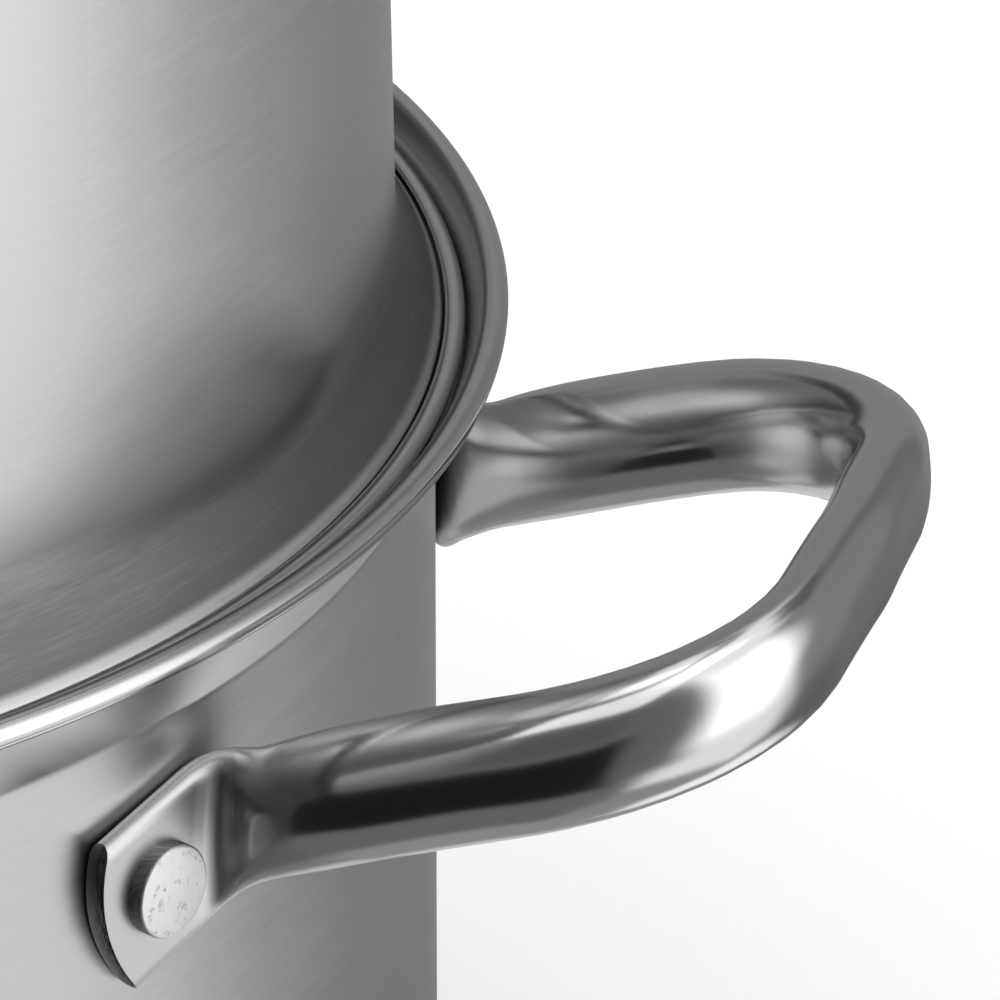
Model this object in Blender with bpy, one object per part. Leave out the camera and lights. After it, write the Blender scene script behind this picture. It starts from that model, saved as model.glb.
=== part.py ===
"""Two-tier steamer pot of stainless steel: stock pot, steaming plate, steamer tier and glass lid.

Metres, +Z up. The origin is the centre of the face that the pot stands on, and the handles lie on X.
"""

import math

import bmesh
import bpy
from mathutils import Matrix, Vector

# Sheet metal and clearances
SHEET = 0.0008  # all the drawn and spun steel
FIT = 0.0003  # running gap between pieces that touch
OVERRUN = 0.002  # how far a cutter stands out of what it cuts

# Stock pot
POT_RADIUS = 0.141  # outer face of the wall
POT_RIM_HEIGHT = 0.155  # centre of the rolled rim above the table
POT_CORNER = 0.016  # bend between floor and wall
FLARE_STEP = 0.0073  # from the wall's outer face out to the centre of the rolled rim
FLARE_DROP = 0.0125  # from the centre of the rolled rim down to the crease
CREASE_RADIUS = 0.003
RIM_BEAD = 0.0017  # outer radius of the rolled edge
CURL_SLIT = 0.0004  # left open between the tail of a rolled edge and the sheet

# Encapsulated base
BASE_INSET = 0.005  # the base disc stops this far inside the flat of the floor
BASE_CORE = 0.004
BASE_EDGE = 0.002

# Steaming plate
PLATE_DROP = 0.0135  # underside of the plate below the pot's rolled rim
PLATE_LIP = 0.006  # height of the turned-up edge
PLATE_CORNER = 0.004
HOLE_RADIUS = 0.005
HOLE_RING_PITCH = 0.030
HOLE_RINGS = 4
HOLES_IN_FIRST_RING = 6

# Steamer tier
TIER_INSET = 0.0045  # the tier's wall is this much narrower than the pot's, at its foot
TIER_RISE = 0.145  # from the pot's rolled rim up to the tier's
TIER_TAPER = 1.0  # degrees that the wall leans inward
SKIRT_ANGLE = 38.0  # degrees from upright, at the foot
SKIRT_RADIUS = 0.022
FOOT_BEAD = 0.0014  # outer radius of the rolled foot
FOOT_STEP = 0.0023  # centre of the rolled foot outside the pot's wall face

# Loop handle, made from one tube with its ends pressed flat
RIVET_SPACING = 0.1151  # across the two feet
RIVET_DROP = 0.0189  # below the crease of the flare
FOOT_REACH = 0.0093  # from the rivet out to the tip of the foot
FOOT_HEIGHT = 0.0212
FOOT_THICKNESS = 0.0026  # two tube walls pressed together
FOOT_FLAT = 0.0185  # length pressed flat, from the tip
FOOT_ARC_DEPTH = 0.0030  # how far the rounded end bulges
FOOT_SQUARENESS = 5.0  # exponent of the flat section's outline
SWELL_LENGTH = 0.020  # from the flat to the full width of the tube
NARROW_LEAD = 0.004  # the foot starts to narrow this far before the swell
NARROW_LENGTH = 0.012  # over which it narrows to the tube's height
TUBE_HEIGHT = 0.0162
TUBE_WIDTH = 0.0176
TUBE_SQUARENESS = 2.0
GRIP_HEIGHT = 0.0168
GRIP_WIDTH = 0.0094
GRIP_SQUARENESS = 2.6
GRIP_LEAD = 0.075  # the tube starts to flatten this far before the grip's middle
GRIP_EASE = 0.060  # length over which it turns into the flatter grip
HANDLE_REACH = 0.0574  # wall to the centre line of the grip
LEG_SPACING = 0.0963  # centre lines of the legs, at the wall
GRIP_SPACING = 0.0924  # the same, at the corners
GRIP_BOW = 0.0021
FOOT_BEND = 0.004
GRIP_BEND = 0.031
FOOT_RISE_ANGLE = 15.5  # degrees, along the flat
LEG_RISE_ANGLE = 23.0  # degrees, after the flat, easing off to level at the grip's middle

# Rivets
RIVET_RADIUS = 0.003
RIVET_HEAD_RADIUS = 0.0057
RIVET_HEAD = 0.0027
RIVET_CROWN = 0.0003
RIVET_INNER_RADIUS = 0.0055
RIVET_INNER_HEAD = 0.0014
RIVET_CHAMFER = 0.0005

# Lid
GLASS = 0.004
LID_SETBACK = 0.0068  # centre of the rim band's nose inside the tier's rolled rim
DOME_RISE = 0.030
BAND_WIDTH = 0.007
VENT_DISTANCE = 0.070
VENT_BORE = 0.0025
VENT_BARREL = 0.0042
VENT_FLANGE = 0.0070
VENT_FLANGE_THICKNESS = 0.0010

# Knob
SCREW_RADIUS = 0.0025
SCREW_HEAD_RADIUS = 0.0048
SCREW_HEAD = 0.0026
SCREW_GRIP = 0.012  # length of the screw inside the knob
WASHER_RADIUS = 0.0090
WASHER_THICKNESS = 0.0015
COLLAR_RADIUS = 0.0190
COLLAR_TOP_RADIUS = 0.0115
COLLAR_HEIGHT = 0.0055
KNOB_WAIST = 0.0085
KNOB_RADIUS = 0.0185
KNOB_HEIGHT = 0.026
KNOB_HEAD = 0.0125  # thickness of the knob's head
KNOB_UNDER_SHARE = 0.25  # fillets of the head, as shares of its thickness
KNOB_TOP_SHARE = 0.5

# Finishes: base colour, roughness, metallic, alpha
BRUSHED_STEEL = ((0.60, 0.60, 0.61), 0.32, 1.0, 1.0)
POLISHED_STEEL = ((0.66, 0.66, 0.67), 0.10, 1.0, 1.0)
RIVET_STEEL = ((0.62, 0.62, 0.62), 0.45, 1.0, 1.0)
ALUMINIUM = ((0.70, 0.71, 0.72), 0.45, 1.0, 1.0)
CLEAR_GLASS = ((0.85, 0.90, 0.90), 0.03, 0.0, 0.3)
SILICONE = ((0.08, 0.08, 0.08), 0.70, 0.0, 1.0)

# Facets
AROUND = 36
SMALL_AROUND = 16
RIVET_AROUND = 12
TUBE_AROUND = 12
HOLE_AROUND = 8
CURL_STEPS = 4
BEND_STEPS = 2
NOSE_STEPS = 3
DOME_STEPS = 5
KNOB_AROUND = 20
PATH_STEPS = 24
GRIP_STATIONS = 5
END_SHARES = (0.0, 0.4, 1.0)
SWELL_SHARES = (0.0, 0.15, 0.35, 0.65)
TIP_SHARE = 0.15  # part of the rounded end that the first section cuts off
MERGE_SHARE = 0.01  # points of an outline closer than this share of the running gap are one point
SMOOTH_ANGLE = 35.0  # degrees between faces above which an edge stays sharp
FLAT_ANGLE = 0.5  # degrees between faces below which they count as one

# Places that follow from the sizes
RIM_RADIUS = POT_RADIUS + FLARE_STEP
FLARE_ANGLE = math.atan2(FLARE_STEP, FLARE_DROP) - math.asin(
    (RIM_BEAD - SHEET) / math.hypot(FLARE_STEP, FLARE_DROP)
)
POT_FLOOR = SHEET + FIT + BASE_CORE + FIT
TIER_RADIUS = POT_RADIUS - TIER_INSET
TIER_RIM_HEIGHT = POT_RIM_HEIGHT + TIER_RISE
FACET_INSET = math.cos(math.pi / AROUND)  # a facet's middle lies this share of the radius out


# Outlines

def direction(angle):
    """Unit vector in the profile plane, at an angle in radians from +R."""
    return Vector((math.cos(angle), math.sin(angle)))


def arc(centre, radius, start, end, steps):
    """Points along an arc, both ends included, angles in radians."""
    return [centre + radius * direction(start + (end - start) * i / steps) for i in range(steps + 1)]


def meet(point, along, other_point, other_along):
    """Where two lines of the profile plane cross."""
    gap = other_point - point
    cross = along.x * other_along.y - along.y * other_along.x
    return point + along * ((gap.x * other_along.y - gap.y * other_along.x) / cross)


def rounded(corners, steps=BEND_STEPS):
    """An open outline through (point, fillet radius) corners, each fillet as an arc."""
    outline = []
    for i, (point, radius) in enumerate(corners):
        if radius == 0 or i in (0, len(corners) - 1):
            outline.append(point)
            continue
        before = (point - corners[i - 1][0]).normalized()
        after = (corners[i + 1][0] - point).normalized()
        turn = math.atan2(before.x * after.y - before.y * after.x, before.dot(after))
        reach = radius * math.tan(abs(turn) / 2)
        side = math.copysign(1, turn)
        centre = point - before * reach + side * radius * Vector((-before.y, before.x))
        start = math.atan2(-side * before.x, side * before.y)
        outline += arc(centre, radius, start, start + turn, steps)
    return outline


def plain(points):
    """Corners without a fillet."""
    return [(point, 0) for point in points]


def curl(centre, radius, lean, side):
    """Inner and outer arc of a rolled edge, from the sheet to the tail.

    The sheet comes in at `lean` from upright. Side 1 rolls a rim, outward and down. Side -1 rolls a
    foot, outward and up.
    """
    tail = math.acos((radius - SHEET - CURL_SLIT) / radius)
    start = side * (math.pi - lean)
    end = start - side * (2 * math.pi - tail)
    inner = arc(centre, radius - SHEET, start, end, CURL_STEPS)
    outer = arc(centre, radius, start, end, CURL_STEPS)
    return inner, outer


def flare_face(rim_height, offset):
    """A point and the direction of a line along the flare, `offset` inward from the rolled rim's centre."""
    inward = Vector((-math.cos(FLARE_ANGLE), math.sin(FLARE_ANGLE)))
    along = Vector((math.sin(FLARE_ANGLE), math.cos(FLARE_ANGLE)))
    return Vector((RIM_RADIUS, rim_height)) + offset * inward, along


def seat_in_flare(rim_height, radius, bead):
    """Centre of a round edge of radius `bead` that rests in the flare, at `radius` from the axis."""
    point, along = flare_face(rim_height, RIM_BEAD + FIT + bead)
    return meet(point, along, Vector((radius, rim_height)), Vector((0, 1)))


def pot_wall(face):
    """A point and the direction of the pot's wall: face 0 is the outer one, 1 the inner one."""
    return Vector((POT_RADIUS - face * SHEET, POT_FLOOR)), Vector((0, 1))


def tier_wall(face):
    """The same for the tier's wall, which leans inward."""
    foot = Vector((TIER_RADIUS - face * SHEET, POT_RIM_HEIGHT))
    lean = math.radians(TIER_TAPER)
    return foot, Vector((-math.sin(lean), math.cos(lean)))


def crease_height(rim_height, wall):
    """Where the flare begins on the outer face of a wall, given as a point and a direction."""
    return meet(*wall, *flare_face(rim_height, RIM_BEAD - SHEET)).y


def tier_radius_at(height):
    """Outer radius of the tier's wall at a height."""
    return TIER_RADIUS - math.tan(math.radians(TIER_TAPER)) * (height - POT_RIM_HEIGHT)


# Meshes and objects

def principled(name, colour, roughness, metallic, alpha):
    """A Principled material."""
    made = bpy.data.materials.new(name)
    made.use_nodes = True
    shader = made.node_tree.nodes["Principled BSDF"]
    shader.inputs["Base Color"].default_value = (*colour, 1)
    shader.inputs["Roughness"].default_value = roughness
    shader.inputs["Metallic"].default_value = metallic
    shader.inputs["Alpha"].default_value = alpha
    return made


def add_object(name, mesh, material, smooth=True):
    """Links a mesh as an object of its own."""
    made = bpy.data.objects.new(name, mesh)
    bpy.context.scene.collection.objects.link(made)
    if material and not mesh.materials:
        mesh.materials.append(material)
    if smooth:
        mesh.shade_smooth()
        mesh.set_sharp_from_angle(angle=math.radians(SMOOTH_ANGLE))
    return made


def mesh_from(bm, name):
    """Closes a bmesh into a mesh with its faces outward."""
    bmesh.ops.recalc_face_normals(bm, faces=bm.faces)
    mesh = bpy.data.meshes.new(name)
    bm.to_mesh(mesh)
    bm.free()
    return mesh


def turned(name, outline, around=AROUND, closed=True):
    """Spins an outline of (radius, height) points about Z. An outline that ends on the axis isn't closed."""
    bm = bmesh.new()
    verts = [bm.verts.new((point.x, 0, point.y)) for point in outline]
    pairs = list(zip(verts, verts[1:]))
    if closed:
        pairs.append((verts[-1], verts[0]))
    edges = [bm.edges.new(pair) for pair in pairs]
    bmesh.ops.spin(
        bm,
        geom=verts + edges,
        cent=(0, 0, 0),
        axis=(0, 0, 1),
        angle=2 * math.pi,
        steps=around,
        use_merge=True,
    )
    bmesh.ops.remove_doubles(bm, verts=bm.verts, dist=MERGE_SHARE * FIT)
    return mesh_from(bm, name)


def cylinder(name, radius, length, around):
    """A cylinder along Z, centred on its middle."""
    bm = bmesh.new()
    bmesh.ops.create_cone(
        bm, cap_ends=True, segments=around, radius1=radius, radius2=radius, depth=length
    )
    return mesh_from(bm, name)


def cutter(name, mesh):
    """An object that only cuts."""
    made = add_object(name, mesh, None, smooth=False)
    made.hide_render = True
    made.display_type = "WIRE"
    return made


def cut(target, tool):
    """Takes the tool's shape out of the target."""
    modifier = target.modifiers.new(tool.name, "BOOLEAN")
    modifier.operation = "DIFFERENCE"
    modifier.object = tool


def rim_outline(rim_height, wall, inner_wall):
    """The flare and rolled rim: outer side from the crease up, inner side back down to the crease.

    Each wall is a point and a direction. The result is a list of corners.
    """
    centre = Vector((RIM_RADIUS, rim_height))
    inner, outer = curl(centre, RIM_BEAD, FLARE_ANGLE, 1)
    crease = meet(*wall, *flare_face(rim_height, RIM_BEAD - SHEET))
    inner_crease = meet(*inner_wall, *flare_face(rim_height, RIM_BEAD))
    return (
        [(crease, CREASE_RADIUS)]
        + plain(inner + outer[::-1])
        + [(inner_crease, CREASE_RADIUS + SHEET)]
    )


# Stock pot

def pot_shell(material):
    """Floor, wall, flare and rolled rim, drawn from one sheet."""
    floor = [(Vector((0, POT_FLOOR)), 0), (Vector((POT_RADIUS, POT_FLOOR)), POT_CORNER)]
    inside = [
        (Vector((POT_RADIUS - SHEET, POT_FLOOR + SHEET)), POT_CORNER - SHEET),
        (Vector((0, POT_FLOOR + SHEET)), 0),
    ]
    outline = rounded(floor + rim_outline(POT_RIM_HEIGHT, pot_wall(0), pot_wall(1)) + inside)
    return add_object("pot_shell", turned("pot_shell", outline, closed=False), material)


def base_core(material):
    """The aluminium disc that spreads the heat."""
    radius = POT_RADIUS - POT_CORNER - BASE_INSET
    low = SHEET + FIT
    corners = [
        (Vector((0, low)), 0),
        (Vector((radius, low)), BASE_EDGE - SHEET),
        (Vector((radius, low + BASE_CORE)), 0),
        (Vector((0, low + BASE_CORE)), 0),
    ]
    return add_object("base_core", turned("base_core", rounded(corners), closed=False), material)


def base_cap(material):
    """The steel dish pressed over the disc, which the pot stands on."""
    radius = POT_RADIUS - POT_CORNER - BASE_INSET + FIT
    top = POT_FLOOR - FIT
    corners = [
        (Vector((0, 0)), 0),
        (Vector((radius + SHEET, 0)), BASE_EDGE),
        (Vector((radius + SHEET, top)), 0),
        (Vector((radius, top)), 0),
        (Vector((radius, SHEET)), BASE_EDGE - SHEET),
        (Vector((0, SHEET)), 0),
    ]
    return add_object("base_cap", turned("base_cap", rounded(corners), closed=False), material)


# Steaming plate

def plate_holes():
    """One cutter for every steam hole: a hole in the middle, then rings of six more each."""
    places = [Vector((0, 0))]
    for ring in range(1, HOLE_RINGS + 1):
        count = HOLES_IN_FIRST_RING * ring
        places += [ring * HOLE_RING_PITCH * direction(2 * math.pi * i / count) for i in range(count)]
    bm = bmesh.new()
    for place in places:
        bmesh.ops.create_cone(
            bm,
            cap_ends=True,
            segments=HOLE_AROUND,
            radius1=HOLE_RADIUS,
            radius2=HOLE_RADIUS,
            depth=SHEET + 2 * OVERRUN,
            matrix=Matrix.Translation((place.x, place.y, POT_RIM_HEIGHT - PLATE_DROP)),
        )
    return cutter("steam_hole_cutter", mesh_from(bm, "steam_hole_cutter"))


def steam_plate(material):
    """A perforated disc whose turned-up edge lies in the pot's flare."""
    low = POT_RIM_HEIGHT - PLATE_DROP
    level = Vector((1, 0))
    outer_face, along = flare_face(POT_RIM_HEIGHT, RIM_BEAD + FIT)
    inner_face, _ = flare_face(POT_RIM_HEIGHT, RIM_BEAD + FIT + SHEET)
    corners = [
        (Vector((0, low)), 0),
        (meet(Vector((0, low)), level, outer_face, along), PLATE_CORNER),
        (meet(Vector((0, low + PLATE_LIP)), level, outer_face, along), 0),
        (meet(Vector((0, low + PLATE_LIP)), level, inner_face, along), 0),
        (meet(Vector((0, low + SHEET)), level, inner_face, along), PLATE_CORNER - SHEET),
        (Vector((0, low + SHEET)), 0),
    ]
    mesh = turned("steam_plate", rounded(corners), closed=False)
    bm = bmesh.new()
    bm.from_mesh(mesh)
    bmesh.ops.dissolve_limit(
        bm, angle_limit=math.radians(FLAT_ANGLE), verts=bm.verts, edges=bm.edges
    )
    bm.to_mesh(mesh)
    bm.free()
    plate = add_object("steam_plate", mesh, material)
    cut(plate, plate_holes())
    return plate


# Steamer tier

def tier_shell(material):
    """A wall open at both ends, with a skirt and rolled foot below and the pot's own flare above."""
    foot = seat_in_flare(POT_RIM_HEIGHT, POT_RADIUS + FOOT_STEP, FOOT_BEAD)
    lean = math.radians(SKIRT_ANGLE)
    inner_curl, outer_curl = curl(foot, FOOT_BEAD, lean, -1)
    down = Vector((math.sin(lean), -math.cos(lean)))
    skirt = meet(inner_curl[0], down, *tier_wall(0))
    inner_skirt = meet(outer_curl[0], down, *tier_wall(1))
    rim = rim_outline(TIER_RIM_HEIGHT, tier_wall(0), tier_wall(1))
    corners = (
        plain(outer_curl)
        + plain(inner_curl[::-1])
        + [(skirt, SKIRT_RADIUS)]
        + rim
        + [(inner_skirt, SKIRT_RADIUS + SHEET), (outer_curl[0], 0)]
    )
    return add_object("tier_shell", turned("tier_shell", rounded(corners)[:-1]), material)


# Loop handles

def handle_plan(wall_radius):
    """Half of the handle's centre line seen from above, from the tip of its foot to the grip's middle."""
    angle = math.asin(RIVET_SPACING / 2 / wall_radius)
    outward = Vector((math.cos(angle), -math.sin(angle)))
    along = Vector((math.sin(angle), math.cos(angle)))
    rivet = outward * (wall_radius + FIT + FOOT_THICKNESS / 2)
    root = Vector((math.sqrt(wall_radius**2 - (LEG_SPACING / 2) ** 2), -LEG_SPACING / 2))
    middle = Vector((wall_radius + HANDLE_REACH, 0))
    corner = Vector((middle.x - GRIP_BOW, -GRIP_SPACING / 2))
    heel = meet(rivet, along, root, corner - root)
    return [(rivet - along * FOOT_REACH, 0), (heel, FOOT_BEND), (corner, GRIP_BEND), (middle, 0)]


def measured(points):
    """Running length along a line of points."""
    lengths = [0.0]
    for before, after in zip(points, points[1:]):
        lengths.append(lengths[-1] + (after - before).length)
    return lengths


def along_path(points, lengths, distance):
    """The point at a distance along a line of points."""
    for i in range(1, len(points)):
        if distance <= lengths[i] or i == len(points) - 1:
            span = lengths[i] - lengths[i - 1]
            share = (distance - lengths[i - 1]) / span
            return points[i - 1].lerp(points[i], share)


def ease(value):
    """Runs smoothly from 0 to 1 as the value does."""
    value = min(max(value, 0.0), 1.0)
    return value * value * (3 - 2 * value)


def open_out(value):
    """Runs from 0 to 1 as the value does, at once and then ever more gently."""
    value = min(max(value, 0.0), 1.0)
    return value * (2 - value)


def mix(start, end, share):
    return start + (end - start) * share


def handle_height(distance, half_length):
    """How far the centre line has risen above the foot's tip at a distance along it."""
    on_foot = min(distance, FOOT_FLAT)
    on_leg = distance - on_foot
    leg_length = half_length - FOOT_FLAT
    foot_slope = math.tan(math.radians(FOOT_RISE_ANGLE))
    leg_slope = math.tan(math.radians(LEG_RISE_ANGLE))
    return foot_slope * on_foot + leg_slope * (on_leg - on_leg * on_leg / leg_length / 2)


def handle_section(distance, half_length):
    """Width, height and squareness of the section at a distance from the nearer tip."""
    swell = open_out((distance - FOOT_FLAT) / SWELL_LENGTH)
    narrow = ease((distance - FOOT_FLAT + NARROW_LEAD) / NARROW_LENGTH)
    grip = ease((distance - half_length + GRIP_LEAD) / GRIP_EASE)
    width = mix(mix(FOOT_THICKNESS, TUBE_WIDTH, swell), GRIP_WIDTH, grip)
    height = mix(mix(FOOT_HEIGHT, TUBE_HEIGHT, narrow), GRIP_HEIGHT, grip)
    squareness = mix(mix(FOOT_SQUARENESS, TUBE_SQUARENESS, swell), GRIP_SQUARENESS, grip)
    bulge = distance + TIP_SHARE * FOOT_ARC_DEPTH
    if bulge < FOOT_ARC_DEPTH:
        arc_radius = ((FOOT_HEIGHT / 2) ** 2 + FOOT_ARC_DEPTH**2) / (2 * FOOT_ARC_DEPTH)
        height = 2 * math.sqrt(arc_radius**2 - (arc_radius - bulge) ** 2)
    return width, height, squareness


def lean_share(distance):
    """1 where a section stands square to the path, at the tip and on the tube, and 0 where it is upright."""
    if distance < FOOT_FLAT:
        return 1 - distance / FOOT_FLAT
    return ease((distance - FOOT_FLAT) / SWELL_LENGTH)


def section_ring(centre, tangent, lean, width, height, squareness):
    """Points of a superellipse across the path, its height in the upright plane of the path."""
    up = (Vector((0, 0, 1)) - tangent * tangent.z * lean).normalized()
    side = tangent.cross(up).normalized()
    ring = []
    for i in range(TUBE_AROUND):
        turn = 2 * math.pi * (i + 0.5) / TUBE_AROUND
        x = math.copysign(abs(math.cos(turn)) ** (2 / squareness), math.cos(turn))
        y = math.copysign(abs(math.sin(turn)) ** (2 / squareness), math.sin(turn))
        ring.append(centre + side * x * width / 2 + up * y * height / 2)
    return ring


def handle_stations(half_length):
    """Where the sections stand along half of the path, closest where the form changes fastest."""
    full_foot = FOOT_ARC_DEPTH * (1 - TIP_SHARE)
    stations = [share * full_foot for share in END_SHARES]
    stations.append(FOOT_FLAT - NARROW_LEAD)
    stations += [FOOT_FLAT + share * SWELL_LENGTH for share in SWELL_SHARES]
    rest = FOOT_FLAT + SWELL_LENGTH
    return stations + [mix(rest, half_length, i / GRIP_STATIONS) for i in range(GRIP_STATIONS + 1)]


def handle_mesh(name, wall_radius, rivet_height):
    """A tube swept from foot to foot, on the +X side."""
    half = rounded(handle_plan(wall_radius), PATH_STEPS)
    plan = half + [Vector((point.x, -point.y)) for point in half[-2::-1]]
    lengths = measured(plan)
    whole = lengths[-1]
    tip_height = rivet_height - handle_height(FOOT_REACH, whole / 2)

    def place(distance):
        point = along_path(plan, lengths, distance)
        rise = handle_height(min(distance, whole - distance), whole / 2)
        return Vector((point.x, point.y, tip_height + rise))

    stations = handle_stations(whole / 2)
    stations += [whole - distance for distance in stations[-2::-1]]
    step = FOOT_BEND / PATH_STEPS
    bm = bmesh.new()
    rings = []
    for distance in stations:
        ahead = place(min(distance + step, whole))
        behind = place(max(distance - step, 0))
        from_tip = min(distance, whole - distance)
        section = handle_section(from_tip, whole / 2)
        ring = section_ring(place(distance), (ahead - behind).normalized(), lean_share(from_tip), *section)
        rings.append([bm.verts.new(point) for point in ring])
    bm.faces.new(rings[0][::-1])
    bm.faces.new(rings[-1])
    for ring, following in zip(rings, rings[1:]):
        for i in range(TUBE_AROUND):
            j = (i + 1) % TUBE_AROUND
            bm.faces.new((ring[i], ring[j], following[j], following[i]))
    return mesh_from(bm, name)


def rivet_mesh(name, wall_radius, inner_radius):
    """A rivet along Z, its zero on the pot's axis: shank, flat head outside and low head inside."""
    seat = wall_radius + FIT + FOOT_THICKNESS + FIT
    inner_seat = inner_radius * FACET_INSET - FIT
    top = seat + RIVET_HEAD
    low = inner_seat - RIVET_INNER_HEAD
    outline = [
        Vector((0, low)),
        Vector((RIVET_INNER_RADIUS, low)),
        Vector((RIVET_INNER_RADIUS, inner_seat)),
        Vector((RIVET_RADIUS, inner_seat)),
        Vector((RIVET_RADIUS, seat)),
        Vector((RIVET_HEAD_RADIUS, seat)),
        Vector((RIVET_HEAD_RADIUS, top - RIVET_CHAMFER)),
        Vector((RIVET_HEAD_RADIUS - RIVET_CHAMFER, top)),
        Vector((0, top + RIVET_CROWN)),
    ]
    return turned(name, outline, RIVET_AROUND, closed=False)


def riveted_handles(prefix, shell, wall_radius, inner_radius, rivet_height, steel, rivet_steel):
    """Two opposite loop handles and their rivets, with the bores through feet and wall."""
    handle = handle_mesh(prefix + "_handle", wall_radius, rivet_height)
    rivet = rivet_mesh(prefix + "_rivet", wall_radius, inner_radius)
    bore = cylinder(
        prefix + "_rivet_bore",
        RIVET_RADIUS + FIT,
        2 * (wall_radius + FIT + FOOT_THICKNESS + OVERRUN),
        RIVET_AROUND,
    )
    angle = math.asin(RIVET_SPACING / 2 / wall_radius)
    bores = []
    for end, turn in (("front", -angle), ("rear", angle)):
        made = cutter(f"{prefix}_{end}_bore_cutter", bore)
        made.location.z = rivet_height
        made.rotation_euler = (0, math.pi / 2, turn)
        bores.append(made)
        cut(shell, made)
    for side, half_turn in (("right", 0), ("left", math.pi)):
        loop = add_object(f"{prefix}_handle_{side}", handle, steel)
        loop.rotation_euler.z = half_turn
        for made in bores:
            cut(loop, made)
        for end, turn in (("front", -angle), ("rear", angle)):
            pin = add_object(f"{prefix}_rivet_{side}_{end}", rivet, rivet_steel)
            pin.location.z = rivet_height
            pin.rotation_euler = (0, math.pi / 2, half_turn + turn * math.copysign(1, math.cos(half_turn)))


# Lid

def dome():
    """Centre height and mid radius of the glass, and the centre of the rim band's nose."""
    nose_radius = GLASS / 2 + FIT + SHEET
    nose = seat_in_flare(TIER_RIM_HEIGHT, RIM_RADIUS - LID_SETBACK, nose_radius)
    radius = (nose.x**2 + DOME_RISE**2) / (2 * DOME_RISE)
    return nose.y + DOME_RISE - radius, radius, nose


def vent_frame():
    """Places the vent on the glass, square to it."""
    centre, radius, _ = dome()
    tilt = math.asin(VENT_DISTANCE / radius)
    turn = Matrix.Rotation(tilt, 4, "Y")
    return Matrix.Translation((0, 0, centre)) @ turn @ Matrix.Translation((0, 0, radius))


def lid_glass(material):
    """A shallow dome with a bore for the knob's screw and one for the vent."""
    centre_height, radius, nose = dome()
    centre = Vector((0, centre_height))
    edge = math.pi / 2 - math.asin(nose.x / radius)
    bore = math.pi / 2 - math.asin((SCREW_RADIUS + FIT) / radius)
    outline = arc(centre, radius - GLASS / 2, bore, edge, DOME_STEPS)
    outline += arc(centre, radius + GLASS / 2, edge, bore, DOME_STEPS)
    glass = add_object("lid_glass", turned("lid_glass", outline), material)
    tool = cutter("vent_bore_cutter", cylinder("vent_bore", VENT_BARREL + FIT, 2 * GLASS, SMALL_AROUND))
    tool.matrix_world = vent_frame()
    cut(glass, tool)
    return glass


def lid_rim(material):
    """The steel band folded round the glass's edge."""
    _, radius, nose = dome()
    slope = math.asin(nose.x / radius)
    outward = Vector((math.cos(slope), -math.sin(slope)))
    upward = Vector((math.sin(slope), math.cos(slope)))
    outer = GLASS / 2 + FIT + SHEET
    inner = GLASS / 2 + FIT
    quarter = math.pi / 2
    outline = [nose - outward * BAND_WIDTH + upward * outer]
    outline += arc(nose, outer, quarter - slope, -quarter - slope, NOSE_STEPS)
    outline += [nose - outward * BAND_WIDTH - upward * outer, nose - outward * BAND_WIDTH - upward * inner]
    outline += arc(nose, inner, -quarter - slope, quarter - slope, NOSE_STEPS)
    outline.append(nose - outward * BAND_WIDTH + upward * inner)
    return add_object("lid_rim", turned("lid_rim", outline), material)


def vent_grommet(material):
    """An eyelet through the glass. Its lower flange clears the middles of the dome's facets."""
    _, radius, nose = dome()
    facet_angle = math.asin(nose.x / radius) / DOME_STEPS
    facet_depth = radius * (1 - math.cos(facet_angle / 2)) + VENT_DISTANCE * (1 - FACET_INSET)
    seat = GLASS / 2 + FIT
    low_seat = seat + facet_depth
    top = seat + VENT_FLANGE_THICKNESS
    low = low_seat + VENT_FLANGE_THICKNESS
    outline = [
        Vector((VENT_BORE, -low)),
        Vector((VENT_FLANGE, -low)),
        Vector((VENT_FLANGE, -low_seat)),
        Vector((VENT_BARREL, -low_seat)),
        Vector((VENT_BARREL, seat)),
        Vector((VENT_FLANGE, seat)),
        Vector((VENT_FLANGE, top)),
        Vector((VENT_BORE, top)),
    ]
    made = add_object("vent_grommet", turned("vent_grommet", outline, SMALL_AROUND), material)
    made.matrix_world = vent_frame()
    return made


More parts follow.
